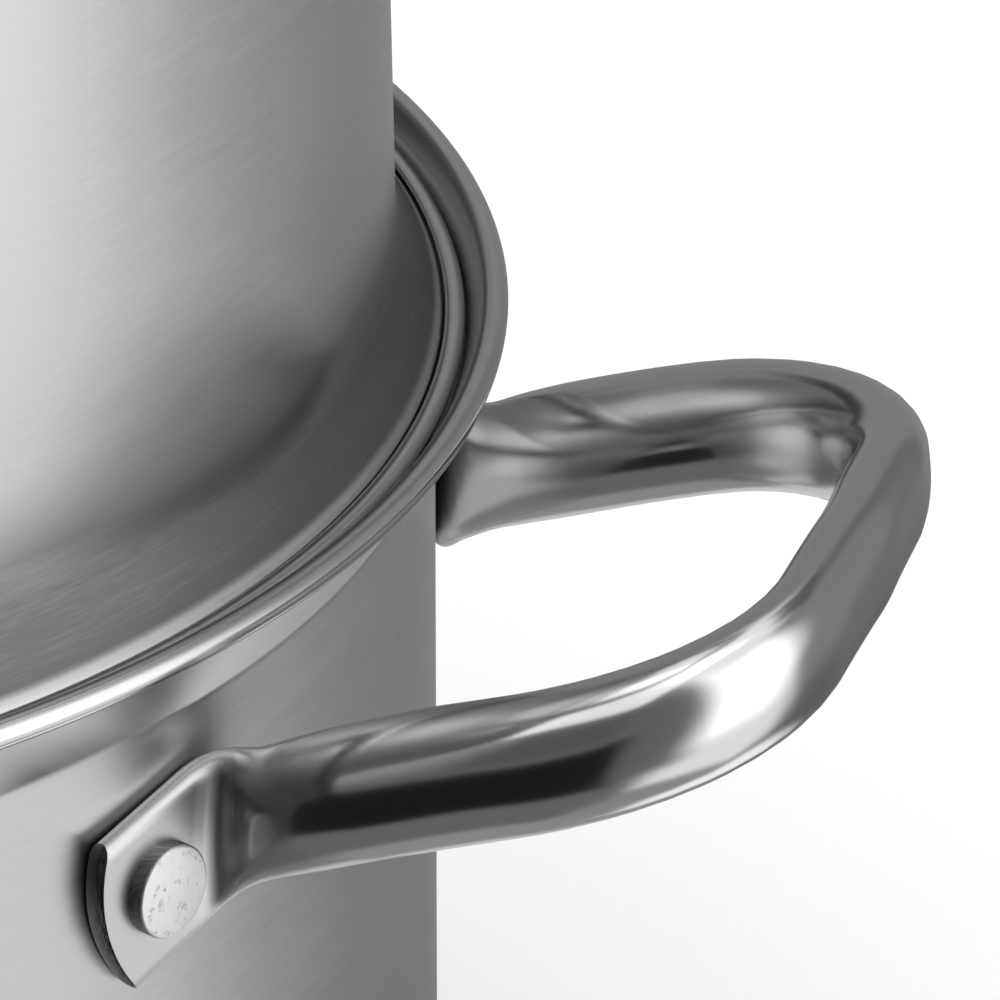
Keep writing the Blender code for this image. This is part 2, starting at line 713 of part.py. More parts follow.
def knob_parts(steel, rubber):
    """Knob, collar, washer and the screw that clamps them to the glass."""
    centre_height, radius, _ = dome()
    glass_top = centre_height + radius + GLASS / 2
    glass_low = glass_top - GLASS
    bore = SCREW_RADIUS + FIT
    collar_low = glass_top + FIT
    collar_top = collar_low + COLLAR_HEIGHT
    collar = [
        Vector((bore, collar_low)),
        Vector((COLLAR_RADIUS, collar_low)),
        Vector((COLLAR_RADIUS, collar_low + SHEET)),
        Vector((COLLAR_TOP_RADIUS, collar_top)),
        Vector((bore, collar_top)),
    ]
    knob_low = collar_top + FIT
    knob_top = knob_low + KNOB_HEIGHT
    screw_top = knob_low + SCREW_GRIP
    head_low = knob_top - KNOB_HEAD
    knob = rounded(
        [
            (Vector((0, screw_top + FIT)), 0),
            (Vector((bore, screw_top + FIT)), 0),
            (Vector((bore, knob_low)), 0),
            (Vector((KNOB_WAIST, knob_low)), 0),
            (Vector((KNOB_WAIST, head_low)), KNOB_UNDER_SHARE * KNOB_HEAD),
            (Vector((KNOB_RADIUS, head_low)), KNOB_UNDER_SHARE * KNOB_HEAD),
            (Vector((KNOB_RADIUS, knob_top)), KNOB_TOP_SHARE * KNOB_HEAD),
            (Vector((0, knob_top)), 0),
        ]
    )
    washer_top = glass_low - FIT - (radius - math.sqrt(radius**2 - WASHER_RADIUS**2))
    washer_low = washer_top - WASHER_THICKNESS
    washer = [
        Vector((bore, washer_low)),
        Vector((WASHER_RADIUS, washer_low)),
        Vector((WASHER_RADIUS, washer_top)),
        Vector((bore, washer_top)),
    ]
    head_top = washer_low - FIT
    screw = [
        Vector((0, head_top - SCREW_HEAD)),
        Vector((SCREW_HEAD_RADIUS, head_top - SCREW_HEAD)),
        Vector((SCREW_HEAD_RADIUS, head_top)),
        Vector((SCREW_RADIUS, head_top)),
        Vector((SCREW_RADIUS, screw_top)),
        Vector((0, screw_top)),
    ]
    add_object("knob_collar", turned("knob_collar", collar, KNOB_AROUND), steel)
    add_object("lid_knob", turned("lid_knob", knob, KNOB_AROUND, closed=False), steel)
    add_object("knob_washer", turned("knob_washer", washer, SMALL_AROUND), rubber)
    add_object("knob_screw", turned("knob_screw", screw, SMALL_AROUND, closed=False), steel)


def clear_scene():
    for found in list(bpy.data.objects):
        bpy.data.objects.remove(found, do_unlink=True)


def main():
    clear_scene()
    brushed = principled("brushed_steel", *BRUSHED_STEEL)
    polished = principled("polished_steel", *POLISHED_STEEL)
    dull = principled("rivet_steel", *RIVET_STEEL)
    aluminium = principled("aluminium", *ALUMINIUM)
    clear = principled("clear_glass", *CLEAR_GLASS)
    rubber = principled("silicone", *SILICONE)

    pot = pot_shell(brushed)
    base_core(aluminium)
    base_cap(brushed)
    pot_rivets = crease_height(POT_RIM_HEIGHT, pot_wall(0)) - RIVET_DROP
    riveted_handles("pot", pot, POT_RADIUS, POT_RADIUS - SHEET, pot_rivets, polished, dull)

    steam_plate(brushed)

    tier = tier_shell(brushed)
    tier_rivets = crease_height(TIER_RIM_HEIGHT, tier_wall(0)) - RIVET_DROP
    tier_outer = tier_radius_at(tier_rivets - FOOT_HEIGHT / 2)
    tier_inner = tier_radius_at(tier_rivets + RIVET_INNER_RADIUS) - SHEET
    riveted_handles("tier", tier, tier_outer, tier_inner, tier_rivets, polished, dull)

    lid_glass(clear)
    lid_rim(polished)
    vent_grommet(polished)
    knob_parts(polished, rubber)


main()
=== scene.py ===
# %% [markdown]
# # A two-tier steamer pot in stainless steel
# The pot exists already as solids of the right size, which are loaded here as a fixed frame. Their
# faces are coarse, and polished steel shows every facet, so this lesson models each piece again as a
# smooth one in the same place. It then gives the steel its brushing, its polish and a photo studio to
# reflect. A steel pot is mostly a picture of the room around it.

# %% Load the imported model
import bisect
from math import acos, asin, atan, atan2, copysign, cos, degrees, hypot, pi, radians, sin, sqrt, tan

import bmesh
import bpy
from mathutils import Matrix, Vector


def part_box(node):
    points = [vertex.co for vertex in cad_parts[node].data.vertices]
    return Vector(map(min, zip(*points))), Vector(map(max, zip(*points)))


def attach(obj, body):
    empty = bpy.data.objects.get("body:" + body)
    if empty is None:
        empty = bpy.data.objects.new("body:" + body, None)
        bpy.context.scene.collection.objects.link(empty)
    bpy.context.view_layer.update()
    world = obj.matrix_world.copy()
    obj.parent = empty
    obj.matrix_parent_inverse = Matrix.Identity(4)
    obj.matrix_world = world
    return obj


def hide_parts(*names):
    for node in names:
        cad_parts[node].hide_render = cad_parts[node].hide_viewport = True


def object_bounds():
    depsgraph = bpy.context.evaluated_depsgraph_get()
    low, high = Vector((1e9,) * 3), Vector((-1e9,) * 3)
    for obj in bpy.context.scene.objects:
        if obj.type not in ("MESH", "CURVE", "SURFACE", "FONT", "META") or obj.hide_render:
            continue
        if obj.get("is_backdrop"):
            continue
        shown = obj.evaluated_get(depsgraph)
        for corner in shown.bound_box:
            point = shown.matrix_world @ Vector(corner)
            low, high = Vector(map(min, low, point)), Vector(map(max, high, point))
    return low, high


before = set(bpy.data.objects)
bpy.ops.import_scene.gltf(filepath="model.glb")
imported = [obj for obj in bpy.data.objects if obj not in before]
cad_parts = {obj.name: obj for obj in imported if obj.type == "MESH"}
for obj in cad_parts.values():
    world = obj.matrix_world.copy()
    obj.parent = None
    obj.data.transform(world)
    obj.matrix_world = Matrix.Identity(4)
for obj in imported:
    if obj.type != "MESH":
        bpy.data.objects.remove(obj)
cad_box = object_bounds()


def new_object(name, data):
    made = bpy.data.objects.new(name, data)
    bpy.context.scene.collection.objects.link(made)
    return made


# %% [markdown]
# ## Sizes
# All lengths are in metres. What can be measured on the solids is measured: the rim's height and
# radius, the feet of the handles, the lid. The sizes below are those of the sheet, the tube and the
# rolled edges, which are too fine to read off a coarse solid.

# %% Sizes of the sheet and its edges
SHEET = 0.0008
FIT = 0.0003
RIM_BEAD = 0.0017
FOOT_BEAD = 0.0014
CURL_SLIT = 0.0004
CREASE_RADIUS = 0.003
FLARE_STEP = 0.0073
FLARE_DROP = 0.0125

rim_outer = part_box("pot_shell")[1].x
RIM_RADIUS = rim_outer - RIM_BEAD
POT_RADIUS = RIM_RADIUS - FLARE_STEP
POT_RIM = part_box("pot_shell")[1].z - RIM_BEAD
TIER_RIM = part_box("tier_shell")[1].z - RIM_BEAD
POT_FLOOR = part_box("pot_shell")[0].z
FLARE_ANGLE = atan2(FLARE_STEP, FLARE_DROP) - asin(
    (RIM_BEAD - SHEET) / hypot(FLARE_STEP, FLARE_DROP)
)
print(f"rim {RIM_RADIUS:.4f} m at {POT_RIM:.4f} and {TIER_RIM:.4f} m, wall {POT_RADIUS:.4f} m")

# %% [markdown]
# ## The camera
# The photograph is a close view from a long lens, above and to the front of the right-hand handle. The
# camera stands where a fit of the rim, the walls and the handle put it. It has no shift and no depth of
# field.

# %% Camera at the photograph's place
CAMERA_PLACE = (0.4334, -0.9711, 0.6413)
CAMERA_TILT = radians(64.0)
CAMERA_TURN = radians(16.0)
CAMERA_LENS = 342.0
SENSOR = 36.0

camera_data = bpy.data.cameras.new("camera")
camera_data.lens = CAMERA_LENS
camera_data.sensor_width = SENSOR
camera_data.clip_start = 0.01
camera_data.clip_end = 50.0
camera = new_object("camera", camera_data)
camera.location = CAMERA_PLACE
camera.rotation_euler = (CAMERA_TILT, 0, CAMERA_TURN)
bpy.context.scene.camera = camera
print("camera at", tuple(round(v, 3) for v in camera.location))

# %% [markdown]
# ## Shader maths as plain expressions
# A finish is easier to read as an expression than as a row of linked nodes. This class wraps a socket.
# Adding, multiplying or dividing two of them adds the Math node that does it. Any other node comes from
# one method, its settings first and its sockets after.


# %% A socket that can be used in an expression
class Wire:
    """One output socket of a material's nodes."""

    def __init__(self, tree, socket):
        self.tree = tree
        self.socket = socket

    def feed(self, node, sockets):
        """Gives each input of a node, by name or number, a wire or a value."""
        for name, value in sockets.items():
            if isinstance(value, Wire):
                self.tree.links.new(value.socket, node.inputs[name])
            else:
                node.inputs[name].default_value = value

    def node(self, kind, sockets, output=0, **settings):
        made = self.tree.nodes.new(kind)
        for name, value in settings.items():
            setattr(made, name, value)
        self.feed(made, sockets)
        return Wire(self.tree, made.outputs[output])

    def math(self, operation, *values):
        return self.node("ShaderNodeMath", dict(enumerate(values)), operation=operation)

    def __add__(self, other):
        return self.math("ADD", self, other)

    __radd__ = __add__

    def __sub__(self, other):
        return self.math("SUBTRACT", self, other)

    def __rsub__(self, other):
        return self.math("SUBTRACT", other, self)

    def __mul__(self, other):
        return self.math("MULTIPLY", self, other)

    def __truediv__(self, other):
        return self.math("DIVIDE", self, other)

    def clamped(self):
        return self.node("ShaderNodeClamp", {"Value": self})

    def step(self, start, end):
        """0 below the start, 1 above the end."""
        made = self.node("ShaderNodeValToRGB", {"Fac": self})
        for element, position in zip(made.socket.node.color_ramp.elements, (start, end)):
            element.position = position
        return made

    def stored(self, name):
        """A number stored on the vertices."""
        return self.node("ShaderNodeAttribute", {}, "Fac", attribute_name=name)

    def part(self, name):
        """X, Y or Z of a vector."""
        return self.node("ShaderNodeSeparateXYZ", {0: self}, name)

    def vector(self, x, y, z):
        return self.node("ShaderNodeCombineXYZ", {"X": x, "Y": y, "Z": z})

    def noise(self, detail=2.0, roughness=0.5, scale=1.0):
        """A noise read at this vector."""
        sockets = {"Vector": self, "Scale": scale, "Detail": detail, "Roughness": roughness}
        return self.node("ShaderNodeTexNoise", sockets)

    def streaks(self, x, y, z):
        """Noise stretched to a length along each axis."""
        return self.vector(self.part("X") / x, self.part("Y") / y, self.part("Z") / z).noise()

    def blend(self, *colours):
        """From the first colour at 0 to the second at 1, each of them plain or a wire."""
        start, end = (colour if isinstance(colour, Wire) else (*colour, 1) for colour in colours)
        return self.node("ShaderNodeMix", {0: self, 6: start, 7: end}, 2, data_type="RGBA")

    def bump(self, distance):
        return self.node("ShaderNodeBump", {"Height": self, "Distance": distance})


def start_material(name, base, roughness, metallic=1.0):
    """A material, its shader, and a wire to write expressions with."""
    material = bpy.data.materials.new(name)
    material.use_nodes = True
    tree = material.node_tree
    shader = tree.nodes["Principled BSDF"]
    place = Wire(tree, tree.nodes.new("ShaderNodeTexCoord").outputs["Object"])
    place.feed(shader, {"Base Color": (*base, 1), "Roughness": roughness, "Metallic": metallic})
    return material, shader, place


def plug(shader, name, wire):
    wire.feed(shader, {name: wire})


# %% [markdown]
# ## Spun brushed steel
# The walls were brushed while they turned, so the scratches run round the axis. Two things make that
# look. The shader's own anisotropy stretches every highlight across the scratches, into the upright bands
# that a brushed pot shows. A noise squeezed along the profile and stretched round the axis gives the
# grain. It follows the skirt and the flare too, because each piece carries the length along its profile
# as an attribute. Two more attributes buff the rolled beads brighter and paint the skirt of the upper
# tier darker: its base colour there is a painted shade, standing in for the dark crescents that its
# reflections show.

# %% Brushed steel
STEEL = (0.60, 0.60, 0.605)
STEEL_DARK = (0.505, 0.505, 0.51)
# The painted shade of the tier's skirt: its dark base colour, how much of it is laid on, and how much the
# grain varies that.
PAINTED_SHADE_STEEL = (0.15, 0.15, 0.153)
PAINTED_SHADE_SHARE = 0.80
PAINTED_SHADE_GRAIN = 0.4
GRAINS = (
    # turns round the axis, width along the profile, detail, share
    (30.0, 0.00020, 2.0, 0.5),
    (9.0, 0.0006, 1.0, 0.3),
    (3.0, 0.0026, 1.0, 0.2),
)
GRAIN_DEPTH = 0.0000008
GRAIN_ROUGHNESS = 0.12
BLOTCH_SIZE = 0.035
BLOTCH_ROUGHNESS = 0.03
ANISOTROPY = 0.85
NOT_ZERO = 1e-9


def brushed_steel(name, roughness, edge_roughness, grain=1.0):
    """Brushed on the wall, buffed where `polish` is 1, darkened by a painted shade on the tier's skirt."""
    material, shader, place = start_material(name, STEEL, roughness)
    x = place.part("X")
    y = place.part("Y")
    radius = place.math("SQRT", x * x + y * y + NOT_ZERO)
    along = place.stored("along")
    streak = 0.0
    for turns, width, detail, share in GRAINS:
        where = place.vector(x / radius * turns, y / radius * turns, along / width)
        streak = streak + where.noise(detail) * share
    blotch = place.noise(scale=1 / BLOTCH_SIZE)
    steel_light = tuple(2 * c - d for c, d in zip(STEEL, STEEL_DARK))
    brushed = streak.blend(STEEL_DARK, steel_light)
    # Painted shade: where the skirt is marked, the base colour is blended towards the dark steel above.
    painted_shade_mask = place.stored("drawn") * (PAINTED_SHADE_SHARE + streak * PAINTED_SHADE_GRAIN)
    plug(shader, "Base Color", painted_shade_mask.blend(brushed, PAINTED_SHADE_STEEL))
    worn = roughness + (streak - 0.5) * (GRAIN_ROUGHNESS * grain) + (blotch - 0.5) * BLOTCH_ROUGHNESS
    plug(shader, "Roughness", worn + place.stored("polish") * (edge_roughness - worn))
    plug(shader, "Normal", streak.bump(GRAIN_DEPTH * grain))
    shader.inputs["Anisotropic"].default_value = ANISOTROPY
    return material


wall_steel = brushed_steel("brushed_wall_steel", 0.305, 0.20)
plate_steel = brushed_steel("brushed_plate_steel", 0.30, 0.20, grain=0.6)
base_steel = brushed_steel("brushed_base_steel", 0.38, 0.30, grain=1.6)
print("brushed steels made:", wall_steel.name, plate_steel.name, base_steel.name)

# %% [markdown]
# ## Polished tube, rivets and the rest
# The handles were buffed along the tube after they were bent, so their faint lines follow it, by a UV
# map with its U along the tube, in metres. Their pressed feet are a little duller. The sawn ends and
# the slits in them are painted nearly black, a painted shade, crossed by lighter saw lines. The rivet
# heads are softer metal, bright and dull at once, with small pits and tool marks. Their side walls are
# painted darker than their faces, a painted shade. The aluminium, the silicone and the glass are simple
# finishes, each with the little unevenness of its real surface.

# %% The other finishes
POLISHED = (0.63, 0.63, 0.635)
POLISHED_DARK = (0.585, 0.585, 0.59)
BUFF_WIDTH = 0.00035
BUFF_LENGTH = 0.03
WAVE_SIZE = 0.011
WAVE_DEPTH = 0.00008
HAZE = {"detail": 4.0, "roughness": 0.6, "scale": 1 / 0.022}
# Painted shade: the sawn end and its slit get this nearly black base colour, crossed by lighter saw lines.
PAINTED_END_SHADE = (0.05, 0.05, 0.05)
SAW_WIDTH = 0.00022
SAW_LENGTH = 0.006
SAW_SHARE = 0.6
SAW_EDGES = (0.45, 0.62)
TUBE_ROUGHNESS = 0.09
HAZE_ROUGHNESS = 0.10
LINE_ROUGHNESS = 0.04
SATIN_ROUGHNESS = 0.24
CUT_ROUGHNESS = 0.1
LINE_HEIGHT = 0.012
PIT_SIZE = 0.0012
PIT_DEPTH = 0.00006
PIT_EDGES = (0.30, 0.42)
PIT_SHARE = 0.6
CLOUD_SHARE = 0.5
CLOUD_HEIGHT = 0.4
RIVET_ROUGHNESS = 0.34
CLOUD_ROUGHNESS = 0.22
MARK_ROUGHNESS = 0.08
MARK_HEIGHT = 0.3
RIVET_DARK = (0.5, 0.5, 0.5)
RIVET_LIGHT = (0.86, 0.86, 0.86)
# Painted shade: the rivet's side walls get this dark base colour.
RIVET_FLANK_SHADE = (0.14, 0.14, 0.14)
FLANK_SHOW = 1.25
SCRATCH_WIDTH = 0.00018
SCRATCH_LENGTH = 0.004
ALUMINIUM_DARK = (0.62, 0.63, 0.64)
ALUMINIUM = (0.74, 0.75, 0.76)
SILICONE_DARK = (0.035, 0.035, 0.037)
SILICONE = (0.07, 0.07, 0.072)
GLASS_TINT = (0.93, 0.97, 0.96)
MATT_SPREAD = 0.16
SMEAR_START = 0.45
SMEAR_ROUGHNESS = 0.12


def polished_tube(name):
    """Buffed along the tube; `satin` is 1 on the foot, `cut` on its sawn end and slit: a painted shade."""
    material, shader, place = start_material(name, POLISHED, TUBE_ROUGHNESS)
    cut = place.stored("cut")
    saw = place.streaks(SAW_WIDTH, SAW_WIDTH, SAW_LENGTH).step(*SAW_EDGES)
    lines = place.node("ShaderNodeUVMap", {}, uv_map="tube").streaks(BUFF_LENGTH, BUFF_WIDTH, 1.0)
    haze = place.noise(**HAZE)
    waves = place.noise(detail=1.0, scale=1 / WAVE_SIZE)
    bright = haze.blend(POLISHED_DARK, POLISHED)
    # The sawn end and its slit are painted nearly black, a painted shade, lightened along the saw lines.
    plug(shader, "Base Color", (cut * (1 - saw * SAW_SHARE)).blend(bright, PAINTED_END_SHADE))
    dull = haze * HAZE_ROUGHNESS + lines * LINE_ROUGHNESS + place.stored("satin") * SATIN_ROUGHNESS
    plug(shader, "Roughness", TUBE_ROUGHNESS + dull + cut * CUT_ROUGHNESS)
    plug(shader, "Normal", (waves + lines * LINE_HEIGHT).bump(WAVE_DEPTH))
    return material


def rivet_steel(name):
    material, shader, place = start_material(name, RIVET_LIGHT, RIVET_ROUGHNESS + MARK_ROUGHNESS)
    pits = place.noise(detail=4.0, roughness=0.65, scale=1 / PIT_SIZE).step(*PIT_EDGES)
    marks = place.streaks(SCRATCH_LENGTH, SCRATCH_WIDTH, SCRATCH_LENGTH)
    cloud = place.noise(detail=3.0, scale=1 / (PIT_SIZE * 3))
    face = (pits * PIT_SHARE + cloud * CLOUD_SHARE).clamped().blend(RIVET_DARK, RIVET_LIGHT)
    # The side walls are painted dark, a painted shade, broken where the tool marks run.
    flank_shade = place.stored("flank_shade") * (FLANK_SHOW - marks).clamped()
    plug(shader, "Base Color", flank_shade.blend(face, RIVET_FLANK_SHADE))
    plug(shader, "Roughness", RIVET_ROUGHNESS + cloud * CLOUD_ROUGHNESS + marks * MARK_ROUGHNESS)
    plug(shader, "Normal", (pits + marks * MARK_HEIGHT + cloud * CLOUD_HEIGHT).bump(PIT_DEPTH))
    return material


def plain(name, dark, light, metallic, flat, roughness, spread, noise, depth=0.0):
    """Colour and roughness follow one noise."""
    material, shader, place = start_material(name, light, flat, metallic)
    grain = place.noise(**noise)
    plug(shader, "Base Color", grain.blend(dark, light))
    plug(shader, "Roughness", roughness + grain * spread)
    if depth:
        plug(shader, "Normal", grain.bump(depth))
    return material


def clear_glass(name):
    material, shader, place = start_material(name, GLASS_TINT, 0.0, metallic=0.0)
    place.feed(shader, {"Transmission Weight": 1.0, "IOR": 1.5})
    smear = place.noise(detail=3.0, scale=18.0)
    plug(shader, "Roughness", (smear - SMEAR_START).clamped() * SMEAR_ROUGHNESS)
    return material


handle_finish = polished_tube("polished_tube_steel")
turned_finish = plain("polished_turned_steel", POLISHED_DARK, POLISHED, 1.0, 0.07, 0.07, HAZE_ROUGHNESS, HAZE)
rivet_finish = rivet_steel("dull_rivet_steel")
cast = {"detail": 3.0, "scale": 900.0}
aluminium_finish = plain("base_aluminium", ALUMINIUM_DARK, ALUMINIUM, 1.0, 0.5, 0.38, MATT_SPREAD, cast)
dust = {"detail": 2.0, "scale": 1500.0}
silicone_finish = plain("washer_silicone", SILICONE_DARK, SILICONE, 0.0, 0.5, 0.52, MATT_SPREAD, dust, 0.00002)
glass_finish = clear_glass("lid_glass_clear")
print("materials now:", [material.name for material in bpy.data.materials])

# %% [markdown]
# ## Spinning a sheet
# A drawn pot is one sheet, the same thickness all over. So is this one. A single vertex is extruded
# along the middle of the sheet, corner by corner, the line is spun round the axis, and a Solidify
# modifier gives it its thickness to both sides. A long straight stretch gets an extra point close to each
# end, because otherwise the smooth shading of the fillet would leak over the whole wall.

# %% Tools for profiles
AROUND = 256
BEND_STEPS = 10
CURL_STEPS = 28
SUPPORT = 0.0006
LONG_STRETCH = 0.0025
MERGE = 0.000001
SHARP_ANGLE = radians(40)
QUARTER = pi / 2
UPRIGHT = Vector((0, 1))
LEVEL = Vector((1, 0))


def unit(angle):
    return Vector((cos(angle), sin(angle)))


def arc(centre, radius, start, end, steps):
    """Points along an arc from one angle to another, both ends included."""
    return [centre + radius * unit(start + (end - start) * i / steps) for i in range(steps + 1)]


def meet(point, along, other_point, other_along):
    """Where two lines cross."""
    gap = other_point - point
    cross = along.x * other_along.y - along.y * other_along.x
    return point + along * ((gap.x * other_along.y - gap.y * other_along.x) / cross)


def rounded(corners, steps=BEND_STEPS):
    """A line through (point, fillet radius) corners, with each fillet as an arc."""
    line = [corners[0][0]]
    for (before, _), (point, radius), (after, _) in zip(corners, corners[1:], corners[2:]):
        if radius == 0:
            line.append(point)
            continue
        way_in = (point - before).normalized()
        way_out = (after - point).normalized()
        turn = atan2(way_in.x * way_out.y - way_in.y * way_out.x, way_in.dot(way_out))
        side = copysign(1, turn)
        corner_start = point - way_in * radius * tan(abs(turn) / 2)
        centre = corner_start + side * radius * Vector((-way_in.y, way_in.x))
        start = atan2(-side * way_in.x, side * way_in.y)
        line += arc(centre, radius, start, start + turn, steps)
    return line + [corners[-1][0]]


def supported(line):
    """The same line with a point close to each end of every long stretch."""
    made = [line[0]]
    for before, after in zip(line, line[1:]):
        stretch = after - before
        if stretch.length > LONG_STRETCH:
            step = stretch.normalized() * SUPPORT
            made += [before + step, after - step]
        made.append(after)
    return made


def profile(*rows):
    """Corners from rows of a radius, a height and, where the corner is rounded, its fillet."""
    return [(Vector(row[:2]), row[2] if len(row) > 2 else 0) for row in rows]


def lengths_along(line):
    """How far along a line each of its points lies."""
    lengths = [0.0]
    for before, after in zip(line, line[1:]):
        lengths.append(lengths[-1] + (after - before).length)
    return lengths


print("steps around:", AROUND)


# %% [markdown]
# Every piece ends the same way: its place is baked into its mesh, it is shaded smooth up to a sharp
# angle, it gets its material, the solid it stands for is hidden, and it is hung on the body it moves
# with. A finish or a painted shade that changes along the profile is stored on the vertices by their
# height.


# %% Tools for spinning and finishing a piece
def deselect_all():
    bpy.ops.object.select_all(action="DESELECT")


def mark_along(piece, line):
    """Stores on each vertex how far along the line it lies."""
    lengths = lengths_along(line)
    attribute = piece.data.attributes.new("along", "FLOAT", "POINT")
    known = {}
    for vertex, value in zip(piece.data.vertices, attribute.data):
        here = Vector((hypot(vertex.co.x, vertex.co.y), vertex.co.z))
        key = here.to_tuple(6)
        if key not in known:
            nearest = min(range(len(line)), key=lambda i: (line[i] - here).length)
            known[key] = lengths[nearest]
        value.value = known[key]


def ease(value):
    """Runs smoothly from 0 to 1."""
    value = min(max(value, 0.0), 1.0)
    return value * value * (3 - 2 * value)


def mark_polish_and_shade(piece, name, spans):
    """Stores a share of polish or of painted shade on each vertex: from 0 at a span's first height to 1 at its
    second.
    """
    attribute = piece.data.attributes.new(name, "FLOAT", "POINT")
    for vertex, value in zip(piece.data.vertices, attribute.data):
        shares = [ease((vertex.co.z - start) / (full - start)) for start, full in spans]
        value.value = max(shares, default=0.0)


def spun(name, line, around=AROUND):
    """Extrudes a vertex along (radius, height) points, spins the line and closes its seam and poles."""
    deselect_all()
    bpy.ops.mesh.primitive_plane_add(size=SHEET)
    piece = bpy.context.object
    piece.name = piece.data.name = name
    bpy.ops.object.mode_set(mode="EDIT")
    bpy.ops.mesh.merge(type="CENTER")
    bpy.ops.transform.translate(value=(line[0].x, 0, line[0].y))
    for before, after in zip(line, line[1:]):
        step = after - before
        bpy.ops.mesh.extrude_vertices_move(TRANSFORM_OT_translate={"value": (step.x, 0, step.y)})
    bpy.ops.mesh.select_all(action="SELECT")
    bpy.ops.mesh.spin(steps=around, angle=2 * pi, center=(0, 0, 0), axis=(0, 0, 1))
    bpy.ops.mesh.select_all(action="SELECT")
    bpy.ops.mesh.remove_doubles(threshold=MERGE)
    bpy.ops.mesh.normals_make_consistent(inside=False)
    bpy.ops.object.mode_set(mode="OBJECT")
    mark_along(piece, line)
    return piece


def apply_modifier(piece, kind, **settings):
    bpy.context.view_layer.objects.active = piece
    modifier = piece.modifiers.new(kind.lower(), kind)
    for name, value in settings.items():
        setattr(modifier, name, value)
    bpy.ops.object.modifier_apply(modifier=modifier.name)


def thicken(piece, thickness=SHEET):
    """Gives a sheet its thickness, half of it to each side."""
    apply_modifier(piece, "SOLIDIFY", thickness=thickness, offset=0.0, use_even_offset=True)


def finished(piece, body, material, slot, *stands_for):
    """Bakes the place into the mesh, shades it, hides the solid it stands for and hangs it on its body."""
    deselect_all()
    piece.select_set(True)
    bpy.context.view_layer.objects.active = piece
    bpy.ops.object.transform_apply(location=True, rotation=True, scale=True)
    bpy.ops.object.shade_smooth_by_angle(angle=SHARP_ANGLE)
    piece.data.materials.clear()
    piece.data.materials.append(material)
    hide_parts(*stands_for)
    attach(piece, body)
    print(f"{piece.name}: {len(piece.data.polygons)} faces")
    return piece


def spun_sheet(name, line, body, material, slot, *stands_for, buffed=(), drawn=()):
    """A spun line given a thickness to both sides."""
    piece = spun(name, supported(line))
    mark_polish_and_shade(piece, "polish", buffed)
    # The skirt's painted shade is stored the same way as the polish.
    mark_polish_and_shade(piece, "drawn", drawn)
    thicken(piece)
    return finished(piece, body, material, slot, *stands_for)


# %% [markdown]
# ## Rims
# The rim is rolled from the same sheet: it leans outward in a straight flare and then curls outward and
# down into a bead, almost closed, so that no raw edge is left to cut a hand. The foot of the upper tier
# is rolled the same way, upward, and rests in the flare of the pot below. Only the bead is buffed, so
# the buffing begins just under it, where two extra points on the flare hold its edge.


# %% Rolled edges and the flare
BUFFED_DROPS = (0.0031, 0.0023)


def buffed_bead(rim_height):
    """The heights between which the buffing of a bead begins."""
    return tuple(rim_height - drop for drop in BUFFED_DROPS)


def curl(centre, radius, lean, side):
    """The middle of a rolled edge, from the sheet to its tail. Side 1 rolls a rim, -1 a foot."""
    middle = radius - SHEET / 2
    tail = acos((radius - SHEET - CURL_SLIT) / radius)
    start = side * (pi - lean)
    return arc(centre, middle, start, start - side * (2 * pi - tail), CURL_STEPS)


def flare_line(rim_height, offset):
    """A point and the direction of a line along the flare, `offset` inward from the bead's centre."""
    inward = unit(pi - FLARE_ANGLE)
    return Vector((RIM_RADIUS, rim_height)) + offset * inward, unit(QUARTER - FLARE_ANGLE)


def rim_corners(rim_height, wall):
    """The crease, the flare and the bead above a wall, which is a point and a direction."""
    flare = flare_line(rim_height, RIM_BEAD - SHEET / 2)
    crease = meet(*wall, *flare)
    buffing_ends = [meet(*flare, Vector((0, rim_height - drop)), LEVEL) for drop in BUFFED_DROPS]
    bead = curl(Vector((RIM_RADIUS, rim_height)), RIM_BEAD, FLARE_ANGLE, 1)
    return [(crease, CREASE_RADIUS + SHEET / 2)] + profile(*buffing_ends, *bead)


def seat_in_flare(rim_height, radius, bead):
    """Centre of a round edge that rests in the flare, at a radius from the axis."""
    return meet(*flare_line(rim_height, RIM_BEAD + FIT + bead), Vector((radius, rim_height)), UPRIGHT)


print(f"flare leans {degrees(FLARE_ANGLE):.1f} degrees from upright")

# %% [markdown]
# ## The stock pot and its base
# The body is a floor, a corner, a straight wall and the rim. Under it a steel dish is pressed over a disc
# of aluminium, which spreads the heat. The disc can't be seen, so its solid stays and only gets its
# finish.

# %% Pot body and base
POT_CORNER = 0.016
BASE_EDGE = 0.002

pot_wall = (Vector((POT_RADIUS - SHEET / 2, POT_FLOOR)), UPRIGHT)
floor_height = POT_FLOOR + SHEET / 2
pot_corners = profile((0, floor_height), (pot_wall[0].x, floor_height, POT_CORNER - SHEET / 2))
pot_line = rounded(pot_corners + rim_corners(POT_RIM, pot_wall))
pot_buffed = [buffed_bead(POT_RIM)]
spun_sheet("pot_body", pot_line, "pot", wall_steel, "shell_steel", "pot_shell", buffed=pot_buffed)

cap_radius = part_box("base_cap")[1].x - SHEET / 2
cap_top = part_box("base_cap")[1].z
cap_corners = profile((0, SHEET / 2), (cap_radius, SHEET / 2, BASE_EDGE - SHEET / 2), (cap_radius, cap_top))
cap_line = rounded(cap_corners)
spun_sheet("base_dish", cap_line, "pot", base_steel, "shell_steel", "base_cap")

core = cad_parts["base_core"]
core.data.materials.clear()
core.data.materials.append(aluminium_finish)

# %% [markdown]
# ## The steaming plate
# The plate lies in the flare under the upper tier and carries the food. It is spun as the pot is, and
# its holes are punched by a Boolean with one cutter, joined from a round bar at every hole.

